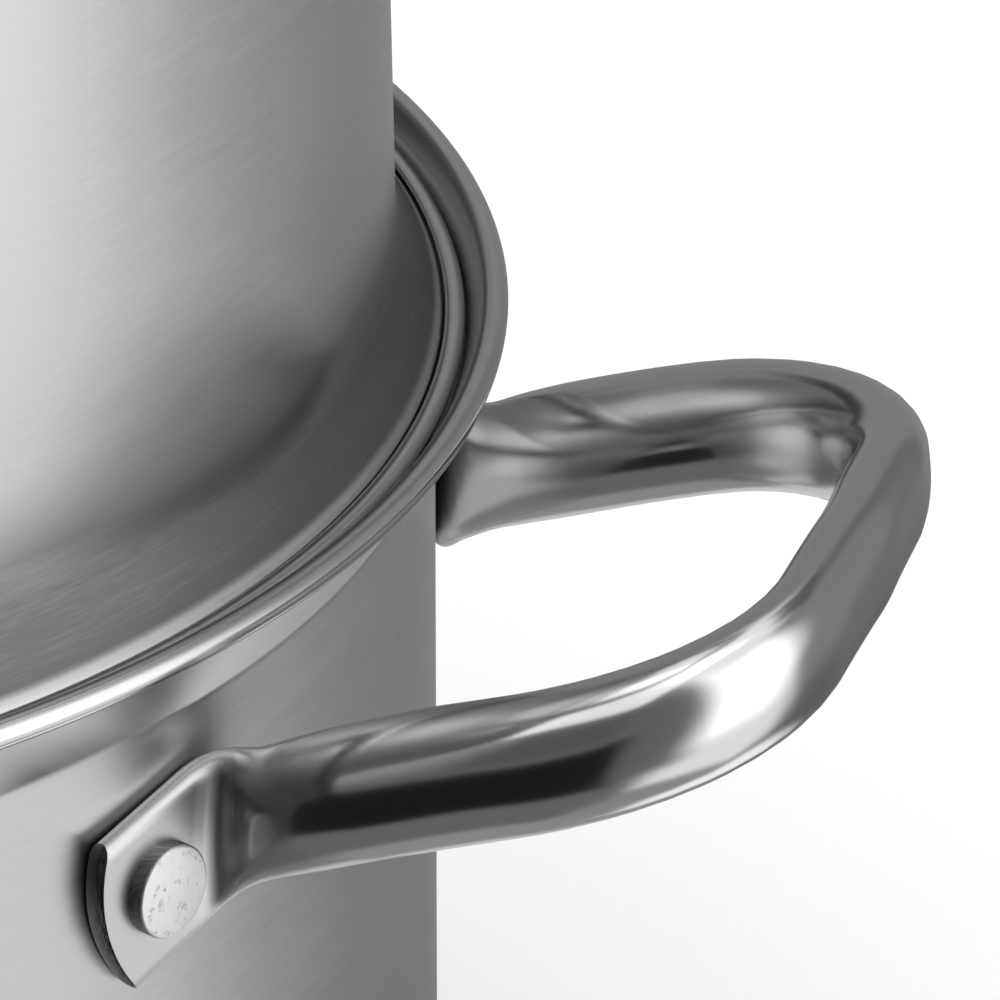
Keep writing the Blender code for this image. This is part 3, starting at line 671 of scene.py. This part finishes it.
# %% Steaming plate
PLATE_DROP = 0.0135
PLATE_LIP = 0.006
PLATE_CORNER = 0.004
HOLE_RADIUS = 0.005
HOLE_PITCH = 0.030
HOLE_RINGS = 4
FIRST_RING_HOLES = 6
HOLE_AROUND = 32
PUNCH_LENGTH = 0.006

plate_low = POT_RIM - PLATE_DROP
plate_middle = plate_low + SHEET / 2
plate_flare = flare_line(POT_RIM, RIM_BEAD + FIT + SHEET / 2)
plate_bend = meet(Vector((0, plate_middle)), LEVEL, *plate_flare)
plate_edge = meet(Vector((0, plate_low + PLATE_LIP)), LEVEL, *plate_flare)
plate_line = rounded(profile((0, plate_middle), (*plate_bend, PLATE_CORNER - SHEET / 2), plate_edge))
plate = spun("plate_with_holes", supported(plate_line))
thicken(plate)

hole_places = [Vector((0, 0))]
for ring in range(1, HOLE_RINGS + 1):
    count = FIRST_RING_HOLES * ring
    hole_places += [ring * HOLE_PITCH * unit(2 * pi * i / count) for i in range(count)]
punches = []
for place in hole_places:
    bpy.ops.mesh.primitive_cylinder_add(
        vertices=HOLE_AROUND, radius=HOLE_RADIUS, depth=PUNCH_LENGTH, location=(*place, plate_middle)
    )
    punches.append(bpy.context.object)
deselect_all()
for punch in punches:
    punch.select_set(True)
bpy.context.view_layer.objects.active = punches[0]
bpy.ops.object.join()
punch = punches[0]
bpy.ops.object.transform_apply(location=True, rotation=True, scale=True)
apply_modifier(plate, "BOOLEAN", operation="DIFFERENCE", object=punch, solver="EXACT")
bpy.data.objects.remove(punch, do_unlink=True)
finished(plate, "plate", plate_steel, "shell_steel", "steam_plate")
print("holes punched:", len(hole_places))

# %% [markdown]
# ## The upper tier
# The tier is a wall open at both ends. It leans inward a little, and at its foot it swings out in a
# concave skirt to a rolled bead that sits in the flare of the pot. The skirt's reflections run together
# into dark and light crescents, which are the most striking lines of the photograph. The skirt's base
# colour is painted dark, a painted shade that deepens the dark crescents, and it fades into the brushed
# wall above it. It fades out again just over the bead, where a narrow bright flange runs round.

# %% Tier body
TIER_INSET = 0.0045
TIER_TAPER = radians(1.0)
SKIRT_ANGLE = radians(38.0)
SKIRT_RADIUS = 0.022
FOOT_STEP = 0.0023
SKIRT_STEPS = 36
FLANGE_HEIGHT = 0.0004
FLANGE_FADE = 0.0012
# How far up the wall the skirt's painted shade reaches, and in how many steps it fades there.
PAINTED_SHADE_REACH = 0.020
PAINTED_SHADE_STEPS = 12

tier_wall = (Vector((POT_RADIUS - TIER_INSET - SHEET / 2, POT_RIM)), unit(QUARTER + TIER_TAPER))
foot = seat_in_flare(POT_RIM, POT_RADIUS + FOOT_STEP, FOOT_BEAD)
foot_curl = curl(foot, FOOT_BEAD, SKIRT_ANGLE, -1)
skirt = meet(foot_curl[0], unit(SKIRT_ANGLE - QUARTER), *tier_wall)
shares = [i / PAINTED_SHADE_STEPS for i in range(PAINTED_SHADE_STEPS // 2, PAINTED_SHADE_STEPS + 1)]
fading = [skirt + tier_wall[1] * (PAINTED_SHADE_REACH * share) for share in shares]
tier_corners = profile(*foot_curl[::-1], (*skirt, SKIRT_RADIUS + SHEET / 2), *fading)
tier_line = rounded(tier_corners + rim_corners(TIER_RIM, tier_wall), SKIRT_STEPS)
flange_top = foot.y + FOOT_BEAD + FLANGE_HEIGHT
tier_buffed = [(foot.y + FOOT_BEAD, foot.y + FOOT_BEAD - SUPPORT), buffed_bead(TIER_RIM)]
# The heights over which the skirt is painted dark, as painted shade.
tier_drawn = [(skirt.y + PAINTED_SHADE_REACH, skirt.y)]
tier_polish_and_shade = {"buffed": tier_buffed, "drawn": tier_drawn}
tier_body = spun_sheet("tier_body", tier_line, "tier", wall_steel, "shell_steel", "tier_shell", **tier_polish_and_shade)
# The painted shade fades out just above the bead, where the flange stays bright.
for vertex, value in zip(tier_body.data.vertices, tier_body.data.attributes["drawn"].data):
    value.value *= ease((vertex.co.z - flange_top) / FLANGE_FADE + 0.5)
# Prints the heights between which the skirt is painted dark, as painted shade.
print(f"skirt as drawn from {flange_top:.4f} to {skirt.y + PAINTED_SHADE_REACH:.4f} m")

# %% [markdown]
# ## The loop handles
# Each handle is one tube. Its ends are pressed flat until the walls meet, cut to an arc, and bent to lie
# along the wall. From there the tube swells out again, and towards the grip it is squashed a little the
# other way. So the section is always the same kind of shape: two flats joined by two half rounds. A
# cylinder is cut into rings along its length, and a formula puts every vertex in its place on that
# section and on the bent path. The first rings run inside the slit, so that the pressed end shows its
# two layers.

# %% The handle's path
RIVET_SPACING = 0.1151
RIVET_DROP = 0.0189
FOOT_REACH = 0.0093
FOOT_THICKNESS = 0.0026
FOOT_FLAT = 0.0185
SWELL_LENGTH = 0.020
HANDLE_REACH = 0.05735
LEG_SPACING = 0.0963
GRIP_SPACING = 0.0924
GRIP_BOW = 0.0021
FOOT_BEND = 0.0065
TANGENT_REACH = FOOT_BEND / 2.5
GRIP_BEND = 0.031
FOOT_SLOPE = tan(radians(15.5))
LEG_SLOPE = tan(radians(23.0))
PATH_STEPS = 40


def handle_plan(wall_radius):
    """The centre line from above, from the tip of one foot to the tip of the other."""
    angle = asin(RIVET_SPACING / 2 / wall_radius)
    along = unit(QUARTER - angle)
    rivet = unit(-angle) * (wall_radius + FIT + FOOT_THICKNESS / 2)
    root = Vector((sqrt(wall_radius**2 - (LEG_SPACING / 2) ** 2), -LEG_SPACING / 2))
    middle = Vector((wall_radius + HANDLE_REACH, 0))
    corner = Vector((middle.x - GRIP_BOW, -GRIP_SPACING / 2))
    heel = meet(rivet, along, root, corner - root)
    corners = [(rivet - along * FOOT_REACH, 0), (heel, FOOT_BEND), (corner, GRIP_BEND), (middle, 0)]
    half = rounded(corners, PATH_STEPS)
    return half + [Vector((point.x, -point.y)) for point in half[-2::-1]]


def handle_rise(distance, half):
    """How far the centre line has risen above the tip: evenly on the foot, then ever more gently."""
    on_foot = min(distance, FOOT_FLAT)
    on_leg = distance - on_foot
    return FOOT_SLOPE * on_foot + LEG_SLOPE * (on_leg - on_leg**2 / (half - FOOT_FLAT) / 2)


def lean_share(distance):
    """1 where a section stands square to the path, at the tip and on the tube, and 0 where it is upright."""
    if distance < FOOT_FLAT:
        return 1 - distance / FOOT_FLAT
    return ease((distance - FOOT_FLAT) / SWELL_LENGTH)


class HandlePath:
    """The centre line in space, with the directions of its section."""

    def __init__(self, wall_radius, rivet_height):
        self.plan = handle_plan(wall_radius)
        self.lengths = lengths_along(self.plan)
        self.length = self.lengths[-1]
        self.tip_height = rivet_height - handle_rise(FOOT_REACH, self.length / 2)

    def place(self, distance):
        i = min(max(bisect.bisect_left(self.lengths, distance), 1), len(self.plan) - 1)
        share = (distance - self.lengths[i - 1]) / (self.lengths[i] - self.lengths[i - 1])
        point = self.plan[i - 1] + (self.plan[i] - self.plan[i - 1]) * share
        rise = handle_rise(min(distance, self.length - distance), self.length / 2)
        return Vector((point.x, point.y, self.tip_height + rise))

    def frame(self, distance):
        """A place, the direction to the wall and the direction up."""
        ahead = self.place(min(distance + TANGENT_REACH, self.length))
        behind = self.place(max(distance - TANGENT_REACH, 0.0))
        tangent = (ahead - behind).normalized()
        lean = lean_share(max(min(distance, self.length - distance), 0.0))
        up = (Vector((0, 0, 1)) - tangent * tangent.z * lean).normalized()
        return self.place(distance), up.cross(tangent).normalized(), up


print(f"the foot rises {degrees(atan(FOOT_SLOPE)):.1f} degrees")

# %% [markdown]
# The section's width and height change along the tube. The foot ends in an arc: a vertex high or low on
# the foot lies a little further along the path than one in the middle. Behind the foot, at the heel,
# the fold runs on along the tube towards its upper edge, as a pressed tube's fold does.

# %% The handle's section
FOOT_HEIGHT = 0.0212
FOOT_ARC_DEPTH = 0.0030
NARROW_LEAD = 0.004
NARROW_LENGTH = 0.012
TUBE_HEIGHT = 0.0162
TUBE_WIDTH = 0.0176
GRIP_HEIGHT = 0.0168
GRIP_WIDTH = 0.0094
GRIP_LEAD = 0.075
GRIP_EASE = 0.060
GRIP_ROUNDNESS = 0.45
HEEL_BLEND = 0.0026
HEEL_LEAN = 0.0020
HEEL_LEAN_BELOW = 0.0005
HEEL_REACH = 0.009
SATIN_REACH = 0.019
SATIN_OVERLAP = 0.0030
SATIN_EDGE = 0.0020
SATIN_PAST_HEEL = 0.34
SLIT_WIDTH = 0.00022
SLIT_DEPTH = 0.0012
EDGE_ROUND = 0.00018
SECTION_POINTS = 64
BLANK_LENGTH = 2.0
CUT_RINGS = 3
FOOT_RINGS = 30
SWELL_RINGS = 44
GRIP_RINGS = 56


def open_out(value):
    """Runs from 0 to 1, at once and then ever more gently."""
    value = min(max(value, 0.0), 1.0)
    return value * (2 - value)


def mix(start, end, share):
    return start + (end - start) * share


def eased_in(length):
    """A length past the heel, which starts to count gently a little before it."""
    return (length + hypot(length, HEEL_BLEND)) / 2


def section_size(distance, half):
    """Width, height and roundness of the tube at a distance from the nearer tip."""
    swell = open_out(eased_in(distance - FOOT_FLAT) / SWELL_LENGTH)
    narrow = ease((distance - FOOT_FLAT + NARROW_LEAD) / NARROW_LENGTH)
    grip = ease((distance - half + GRIP_LEAD) / GRIP_EASE)
    width = mix(mix(FOOT_THICKNESS, TUBE_WIDTH, swell), GRIP_WIDTH, grip)
    height = mix(mix(FOOT_HEIGHT, TUBE_HEIGHT, narrow), GRIP_HEIGHT, grip)
    return width, height, mix(swell**2, GRIP_ROUNDNESS, grip)


def on_pressed(turn, width, height):
    """A point on two flats joined by two half rounds, spread evenly by length."""
    radius = min(width, height) / 2
    flat = max(height - width, 0.0)
    quarter = pi * radius / 2 + flat / 2
    within = quarter * (1 - abs(turn / QUARTER % 2 - 1))
    straight = min(within, flat / 2)
    bend = (within - straight) / radius
    x = copysign(radius * cos(bend), cos(turn))
    y = copysign(straight + radius * sin(bend), sin(turn))
    return Vector((x, y))


def on_section(turn, width, height, roundness):
    """A point on the section: pressed flat at roundness 0, an ellipse at 1."""
    oval = Vector((cos(turn) * width / 2, sin(turn) * height / 2))
    return on_pressed(turn, width, height).lerp(oval, roundness)


def ring_list(half):
    """Distance, width, height and roundness of the rings on one half, from inside the slit to the middle."""
    width, height, _ = section_size(0.0, half)
    slit = (SLIT_WIDTH, height - (width - SLIT_WIDTH), 0.0)
    rings = [
        (SLIT_DEPTH, *slit),
        (0.0, *slit),
        (0.0, width - 2 * EDGE_ROUND, height - 2 * EDGE_ROUND, 0.0),
        (EDGE_ROUND, width, height, 0.0),
    ]
    swell_end = FOOT_FLAT + SWELL_LENGTH
    stops = ((FOOT_FLAT, FOOT_RINGS), (swell_end, SWELL_RINGS), (half, GRIP_RINGS))
    distance = EDGE_ROUND
    for stop, count in stops:
        start = distance
        for i in range(1, count + 1):
            distance = mix(start, stop, i / count)
            rings.append((distance, *section_size(distance, half)))
    return rings


def heel_shift(from_tip, y):
    """How far the fold at the heel runs on along the tube, more above its middle than below."""
    near = 1 - min(abs(from_tip - FOOT_FLAT) / HEEL_REACH, 1.0)
    return ease(near) * (HEEL_LEAN if y > 0 else HEEL_LEAN_BELOW) * (y / (FOOT_HEIGHT / 2)) ** 2


def satin_share(from_tip):
    """1 on the pressed foot and its heel, much less past it, and 0 on the tube."""
    past_heel = from_tip - FOOT_FLAT
    on_foot = ease((SATIN_OVERLAP - past_heel) / SATIN_EDGE + 0.5)
    return max(on_foot, SATIN_PAST_HEEL * ease(1 - past_heel / SATIN_REACH))


def arc_offset(y):
    """How far a vertex at height y of the foot's end lies behind the end's middle."""
    arc_radius = ((FOOT_HEIGHT / 2) ** 2 + FOOT_ARC_DEPTH**2) / (2 * FOOT_ARC_DEPTH)
    return arc_radius - sqrt(arc_radius**2 - y**2)


print("section tools ready")


# %% [markdown]
# The rings are numbered by their height on the straight cylinder, so each vertex knows its ring and its
# turn round the tube. The left handle is the right one turned half round the axis. The tier's wall leans
# inward, so its handles are bent for a smaller radius.


# %% Bending a cylinder into a handle
def loop_handle(name, wall_radius, rivet_height):
    path = HandlePath(wall_radius, rivet_height)
    half = path.length / 2
    rings = ring_list(half)
    rings += [(-distance, *size) for distance, *size in rings[-2::-1]]
    deselect_all()
    bpy.ops.mesh.primitive_cylinder_add(vertices=SECTION_POINTS, radius=TUBE_WIDTH / 2, depth=BLANK_LENGTH)
    piece = bpy.context.object
    piece.name = piece.data.name = name
    bpy.ops.object.mode_set(mode="EDIT")
    bpy.ops.mesh.select_all(action="DESELECT")
    bm = bmesh.from_edit_mesh(piece.data)
    for edge in bm.edges:
        edge.select_set(abs(edge.verts[0].co.z - edge.verts[1].co.z) > BLANK_LENGTH / 2)
    bmesh.update_edit_mesh(piece.data)
    bpy.ops.mesh.subdivide(number_cuts=len(rings) - 2)
    bpy.ops.object.mode_set(mode="OBJECT")
    uv = piece.data.uv_layers.new(name="tube")
    cut = piece.data.attributes.new("cut", "FLOAT", "POINT")
    satin = piece.data.attributes.new("satin", "FLOAT", "POINT")
    places = []
    for vertex in piece.data.vertices:
        ring = round((vertex.co.z / BLANK_LENGTH + 0.5) * (len(rings) - 1))
        turn = atan2(vertex.co.y, vertex.co.x)
        from_tip, width, height, roundness = rings[ring]
        x, y = on_section(turn, width, height, roundness)
        first_half = ring < len(rings) / 2
        shift = arc_offset(y) * max(1 - abs(from_tip) / FOOT_FLAT, 0.0) + heel_shift(abs(from_tip), y)
        distance = from_tip + shift if first_half else path.length + from_tip - shift
        centre, side, up = path.frame(distance)
        vertex.co = centre + side * x + up * y
        places.append((distance, turn * TUBE_HEIGHT / 2))
        cut.data[vertex.index].value = float(min(ring, len(rings) - 1 - ring) < CUT_RINGS)
        satin.data[vertex.index].value = satin_share(abs(from_tip))
    for loop in piece.data.loops:
        uv.data[loop.index].uv = places[loop.vertex_index]
    return piece


def handle_pair(body, wall_radius, rivet_height):
    """A handle on the right and the same one, turned half round the axis, on the left."""
    right = loop_handle(f"{body}_loop_right", wall_radius, rivet_height)
    left = new_object(f"{body}_loop_left", right.data.copy())
    left.data.name = left.name
    left.rotation_euler.z = pi
    for piece, side in ((right, "right"), (left, "left")):
        finished(piece, body, handle_finish, "handle_steel", f"{body}_handle_{side}")


def rivet_height_on(wall, rim_height):
    """A drop below the crease, where a wall's outer face meets the flare's."""
    return meet(*wall, *flare_line(rim_height, RIM_BEAD - SHEET)).y - RIVET_DROP


pot_rivets = rivet_height_on((Vector((POT_RADIUS, 0)), UPRIGHT), POT_RIM)
handle_pair("pot", POT_RADIUS, pot_rivets)

tier_outer = (Vector((POT_RADIUS - TIER_INSET, POT_RIM)), tier_wall[1])
tier_rivets = rivet_height_on(tier_outer, TIER_RIM)


def tier_radius_at(height):
    return POT_RADIUS - TIER_INSET - tan(TIER_TAPER) * (height - POT_RIM)


tier_seat_radius = tier_radius_at(tier_rivets - FOOT_HEIGHT / 2)
handle_pair("tier", tier_seat_radius, tier_rivets)
print(f"rivets at {pot_rivets:.4f} and {tier_rivets:.4f} m")

# %% [markdown]
# ## The rivets
# A rivet is a short bar with a head at each end. The outer head is a thick disc with a slightly domed,
# hammered face and softened edges. The profile is spun round an upright axis, and the piece is then laid
# over so that its axis points out of the wall.

# %% Rivets
RIVET_RADIUS = 0.003
HEAD_RADIUS = 0.0057
RIVET_HEAD = 0.0023
RIVET_CROWN = 0.00030
RIVET_SEAT = 0.00005
TAIL_RADIUS = 0.0055
RIVET_TAIL = 0.0014
RIVET_EDGE = 0.0004
CROWN_STEPS = 10
RIVET_AROUND = 64


def rivet(name, wall_radius, inner_radius):
    """A rivet along Z, with its zero on the pot's axis."""
    seat = wall_radius + FIT + FOOT_THICKNESS + RIVET_SEAT
    top = seat + RIVET_HEAD
    inner_seat = inner_radius - FIT
    low = inner_seat - RIVET_TAIL
    crown = [1 - i / CROWN_STEPS for i in range(1, CROWN_STEPS + 1)]
    corners = profile(
        (0, low),
        (TAIL_RADIUS, low, RIVET_EDGE),
        (TAIL_RADIUS, inner_seat),
        (RIVET_RADIUS, inner_seat),
        (RIVET_RADIUS, seat),
        (HEAD_RADIUS, seat),
        (HEAD_RADIUS, top - RIVET_CROWN, RIVET_EDGE),
        *[(HEAD_RADIUS * share, top - RIVET_CROWN * share**2) for share in crown],
    )
    piece = spun(name, supported(rounded(corners)), RIVET_AROUND)
    # The side wall and all below it are marked for the rivet's painted shade.
    mark_polish_and_shade(piece, "flank_shade", [(top - RIVET_CROWN, top - RIVET_CROWN - RIVET_EDGE)])
    return piece


def rivet_set(body, wall_radius, inner_radius, rivet_height):
    angle = asin(RIVET_SPACING / 2 / wall_radius)
    turns = {"right_front": -angle, "right_rear": angle}
    turns |= {"left_front": pi + angle, "left_rear": pi - angle}
    for place, turn in turns.items():
        piece = rivet(f"{body}_pin_{place}", wall_radius, inner_radius)
        piece.location.z = rivet_height
        piece.rotation_euler = (0, QUARTER, turn)
        finished(piece, body, rivet_finish, "rivet_steel", f"{body}_rivet_{place}")


rivet_set("pot", POT_RADIUS, POT_RADIUS - SHEET, pot_rivets)
tier_inside = tier_radius_at(tier_rivets + TAIL_RADIUS) - SHEET
rivet_set("tier", tier_seat_radius, tier_inside, tier_rivets)

# %% [markdown]
# ## The lid
# The lid is a shallow dome of tempered glass. A steel band is folded round its edge, an eyelet lets steam
# out, and a turned knob is held by one screw. None of it shows in the photograph, so it is what such pots
# have.

# %% Lid glass, band and vent
GLASS = 0.004
LID_SETBACK = 0.0068
DOME_RISE = 0.030
BAND_WIDTH = 0.007
VENT_DISTANCE = 0.070
VENT_BORE = 0.0025
VENT_BARREL = 0.0042
VENT_FLANGE = 0.0070
VENT_LIP = 0.0010
SCREW_RADIUS = 0.0025
DOME_STEPS = 40
SMALL_AROUND = 64

nose = seat_in_flare(TIER_RIM, RIM_RADIUS - LID_SETBACK, GLASS / 2 + FIT + SHEET)
dome_radius = (nose.x**2 + DOME_RISE**2) / (2 * DOME_RISE)
dome_centre = Vector((0, nose.y + DOME_RISE - dome_radius))
slope = asin(nose.x / dome_radius)
bore_angle = QUARTER - asin((SCREW_RADIUS + FIT) / dome_radius)
glass = spun("glass_dome", arc(dome_centre, dome_radius, bore_angle, QUARTER - slope, DOME_STEPS))
thicken(glass, GLASS)
finished(glass, "lid", glass_finish, "lid_glass", "lid_glass")

band_gap = GLASS / 2 + FIT + SHEET / 2
band_in = unit(pi - slope) * BAND_WIDTH
band_up = unit(QUARTER - slope) * band_gap
fold = arc(nose, band_gap, QUARTER - slope, -QUARTER - slope, CURL_STEPS)
band_line = [nose + band_in + band_up, *fold, nose + band_in - band_up]
spun_sheet("lid_band", band_line, "lid", turned_finish, "handle_steel", "lid_rim")

vent_seat = GLASS / 2 + FIT
vent_top = vent_seat + VENT_LIP
vent_corners = profile(
    (VENT_BORE, -vent_top),
    (VENT_FLANGE, -vent_top, VENT_LIP / 3),
    (VENT_FLANGE, -vent_seat),
    (VENT_BARREL, -vent_seat),
    (VENT_BARREL, vent_seat),
    (VENT_FLANGE, vent_seat),
    (VENT_FLANGE, vent_top, VENT_LIP / 2),
    (VENT_BORE, vent_top, VENT_LIP / 2),
    (VENT_BORE, -vent_top),
)
vent = spun("steam_vent", rounded(vent_corners, 4), SMALL_AROUND)
vent_tilt = asin(VENT_DISTANCE / dome_radius)
vent.location = (VENT_DISTANCE, 0, dome_centre.y + dome_radius * cos(vent_tilt))
vent.rotation_euler = (0, vent_tilt, 0)
finished(vent, "lid", turned_finish, "handle_steel", "vent_grommet")

# %% [markdown]
# The knob stands on a collar, and the screw comes up from below, through a washer and the glass, into the
# knob. Each height follows from the piece below.

# %% Knob, collar, washer and screw
SCREW_HEAD_RADIUS = 0.0048
SCREW_HEAD = 0.0026
SCREW_GRIP = 0.012
WASHER_RADIUS = 0.0090
WASHER_THICKNESS = 0.0015
COLLAR_RADIUS = 0.0190
COLLAR_TOP_RADIUS = 0.0115
COLLAR_HEIGHT = 0.0055
KNOB_WAIST = 0.0085
KNOB_RADIUS = 0.0185
KNOB_HEIGHT = 0.026
KNOB_HEAD = 0.0125
SMALL_EDGE = 0.0003
KNOB_AROUND = 128

glass_top = dome_centre.y + dome_radius + GLASS / 2
bore = SCREW_RADIUS + FIT
collar_low = glass_top + FIT
collar_top = collar_low + COLLAR_HEIGHT
collar_corners = profile(
    (bore, collar_low),
    (COLLAR_RADIUS, collar_low),
    (COLLAR_RADIUS, collar_low + SHEET, SMALL_EDGE),
    (COLLAR_TOP_RADIUS, collar_top, SMALL_EDGE * 4),
    (bore, collar_top),
    (bore, collar_low),
)

knob_low = collar_top + FIT
knob_top = knob_low + KNOB_HEIGHT
screw_top = knob_low + SCREW_GRIP
knob_corners = profile(
    (0, screw_top + FIT),
    (bore, screw_top + FIT),
    (bore, knob_low),
    (KNOB_WAIST, knob_low, SMALL_EDGE),
    (KNOB_WAIST, knob_top - KNOB_HEAD, KNOB_HEAD / 4),
    (KNOB_RADIUS, knob_top - KNOB_HEAD, KNOB_HEAD / 4),
    (KNOB_RADIUS, knob_top, KNOB_HEAD / 2),
    (0, knob_top),
)

glass_low = glass_top - GLASS
washer_top = glass_low - FIT - (dome_radius - sqrt(dome_radius**2 - WASHER_RADIUS**2))
washer_low = washer_top - WASHER_THICKNESS
washer_corners = profile(
    (bore, washer_low),
    (WASHER_RADIUS, washer_low, SMALL_EDGE),
    (WASHER_RADIUS, washer_top, SMALL_EDGE),
    (bore, washer_top),
    (bore, washer_low),
)

head_top = washer_low - FIT
screw_corners = profile(
    (0, head_top - SCREW_HEAD),
    (SCREW_HEAD_RADIUS, head_top - SCREW_HEAD, SCREW_HEAD / 2),
    (SCREW_HEAD_RADIUS, head_top),
    (SCREW_RADIUS, head_top),
    (SCREW_RADIUS, screw_top),
    (0, screw_top),
)

collar_line = supported(rounded(collar_corners))
knob_line = supported(rounded(knob_corners))
small_parts = (
    ("knob_base", collar_line, KNOB_AROUND, turned_finish, "handle_steel", "knob_collar"),
    ("turned_knob", knob_line, KNOB_AROUND, turned_finish, "handle_steel", "lid_knob"),
    ("seal_washer", rounded(washer_corners, 4), SMALL_AROUND, silicone_finish, "silicone", "knob_washer"),
    ("lid_screw", rounded(screw_corners, 6), SMALL_AROUND, turned_finish, "rivet_steel", "knob_screw"),
)
for name, line, around, finish, slot, solid in small_parts:
    finished(spun(name, line, around), "lid", finish, slot, solid)

# %% [markdown]
# ## The studio
# Steel has hardly any colour of its own, so the light is half of the finish. The floor is white and so is
# the world, at strength 1. One soft lamp overhead gives the floor its shadow. The steel doesn't look at
# the floor: it reflects the cards of the next cell.

# %% Floor and lamp
FLOOR_SIZE = 40.0
FLOOR_WHITE = (0.99, 0.99, 0.99)
LAMP_PLACE = (0.1, -0.1, 1.7)
LAMP_TARGET = (0.1, 0, 0.15)
LAMP_SIZE = 1.2
LAMP_POWER = 5.0

deselect_all()
bpy.ops.mesh.primitive_plane_add(size=FLOOR_SIZE)
floor = bpy.context.object
floor.name = "floor"
floor.visible_glossy = False
floor_material, floor_shader, _ = start_material("white_floor", FLOOR_WHITE, 0.9, metallic=0.0)
floor_shader.inputs["Specular IOR Level"].default_value = 0.0
floor.data.materials.append(floor_material)
floor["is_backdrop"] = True

light = bpy.data.lights.new("overhead_lamp", "AREA")
light.size = LAMP_SIZE
light.energy = LAMP_POWER
lamp = new_object("overhead_lamp", light)
lamp.location = LAMP_PLACE
lamp.rotation_euler = (Vector(LAMP_TARGET) - Vector(LAMP_PLACE)).to_track_quat("-Z", "Y").to_euler()
print("made:", floor.name, "and", lamp.name)

# %% [markdown]
# ## The cards that the steel reflects
# Photographers stand white, grey and black cards round polished steel, out of the picture, and the steel
# shows them as its light and dark bands. Here they are painted on the world, for reflections alone: the
# camera, the glass and the floor still get plain white. A card is a soft-edged patch of the sky or of the
# ground, given by where it stands round the pot and how high it reaches, both in degrees. Azimuth 0 is to
# the right of the pot, through its handle, and the camera stands at -66.

# %% Where the cards stand
CARDS = {
    # name: (azimuth from, to, softness), (elevation from, to, softness), brightness
    "lit_floor": ((-30, 30, 18), (-52, -25, 12), 1.15),
    "far_floor": ((30, 96, 18), (-52, -25, 12), 0.15),
    "near_floor": ((-180, 180, 0), (-95, -51, 12), 0.36),
    "rear_floor": ((36, 74, 12), (-68, -44, 10), 1.35),
    "front_floor": ((-196, -34, 26), (-95, -37, 14), 0.19),
    "under_floor": ((-180, 180, 0), (-100, -79, 12), 0.38),
    "front_black": ((-190, -44, 18), (-38, 24, 10), 0.015),
    "side_grey": ((-50, -18, 14), (-32, 64, 12), 0.17),
    "front_grey": ((-145, -48, 26), (24, 100, 22), 0.13),
    "left_grey": ((-196, -126, 26), (30, 76, 12), 0.38),
    "rear_dark": ((64, 78, 10), (-32, 40, 12), 0.20),
    "right_white": ((-19, 22, 22), (-25, 69, 12), 1.90),
    "overhead_white": ((-10, 125, 40), (51, 82, 14), 1.25),
    "rear_gap": ((47, 84, 10), (40, 56, 7), 0.13),
    "left_white": ((-200, -152, 12), (-48, 28, 12), 0.90),
    "rear_left_black": ((131, 156, 9), (-32, 32, 9), 0.06),
    "rear_left_floor": ((98, 172, 20), (-60, -34, 8), 0.75),
}
REAR_GREY = 0.29

print("cards:", ", ".join(CARDS))

# %% [markdown]
# Each card is laid over the ones before it. Its mask is 1 inside and falls off smoothly across each
# edge. The azimuth is counted from the card's middle and wrapped, so a card may cross the place where the
# circle closes. The world isn't sampled as a lamp, because such samples would ignore that only
# reflections see the cards.

# %% Painting the world
world = bpy.data.worlds.new("studio")
bpy.context.scene.world = world
world.use_nodes = True
world.cycles.sampling_method = "NONE"
tree = world.node_tree
white = tree.nodes["Background"]
way = Wire(tree, tree.nodes.new("ShaderNodeTexCoord").outputs["Generated"])
way.feed(white, {"Color": (1, 1, 1, 1), "Strength": 1.0})
azimuth = way.math("ARCTAN2", way.part("Y"), way.part("X")) * degrees(1)
elevation = way.math("ARCSINE", way.part("Z")) * degrees(1)


def band_mask(value, start, end, softness, wrapped):
    """1 between two angles, with a smooth fall-off centred on each."""
    from_middle = value - (start + end) / 2
    if wrapped:
        from_middle = value.math("WRAP", from_middle, -180, 180)
    half = (end - start) / 2
    limits = {
        "Value": value.math("ABSOLUTE", from_middle),
        "From Min": half + softness / 2,
        "From Max": half - softness / 2,
    }
    return value.node("ShaderNodeMapRange", limits, interpolation_type="SMOOTHSTEP")


seen = azimuth * 0 + REAR_GREY
for name, (turns, heights, brightness) in CARDS.items():
    mask = band_mask(elevation, *heights, wrapped=False)
    if turns[1] - turns[0] < 360:
        mask = mask * band_mask(azimuth, *turns, wrapped=True)
    seen = seen + mask * (brightness - seen)

cards = way.node("ShaderNodeBackground", {"Color": seen})
reflected = way.node("ShaderNodeLightPath", {}, "Is Glossy Ray")
either = way.node("ShaderNodeMixShader", {0: reflected, 1: Wire(tree, white.outputs[0]), 2: cards})
tree.links.new(either.socket, tree.nodes["World Output"].inputs["Surface"])
print("cards painted:", len(CARDS), "with", len(tree.nodes), "nodes")

# %% [markdown]
# ## Last settings
# The view transform is Standard, so a colour renders about as it is written. The box of the finished
# pieces is printed next to the box of the solids, to see that nothing grew.

# %% View transform and size
bpy.context.scene.view_settings.view_transform = "Standard"
visual_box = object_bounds()
boxes = {"cad": [list(corner) for corner in cad_box], "visual": [list(corner) for corner in visual_box]}
for name, box in boxes.items():
    print(name, "box:", [round(v, 4) for corner in box for v in corner])
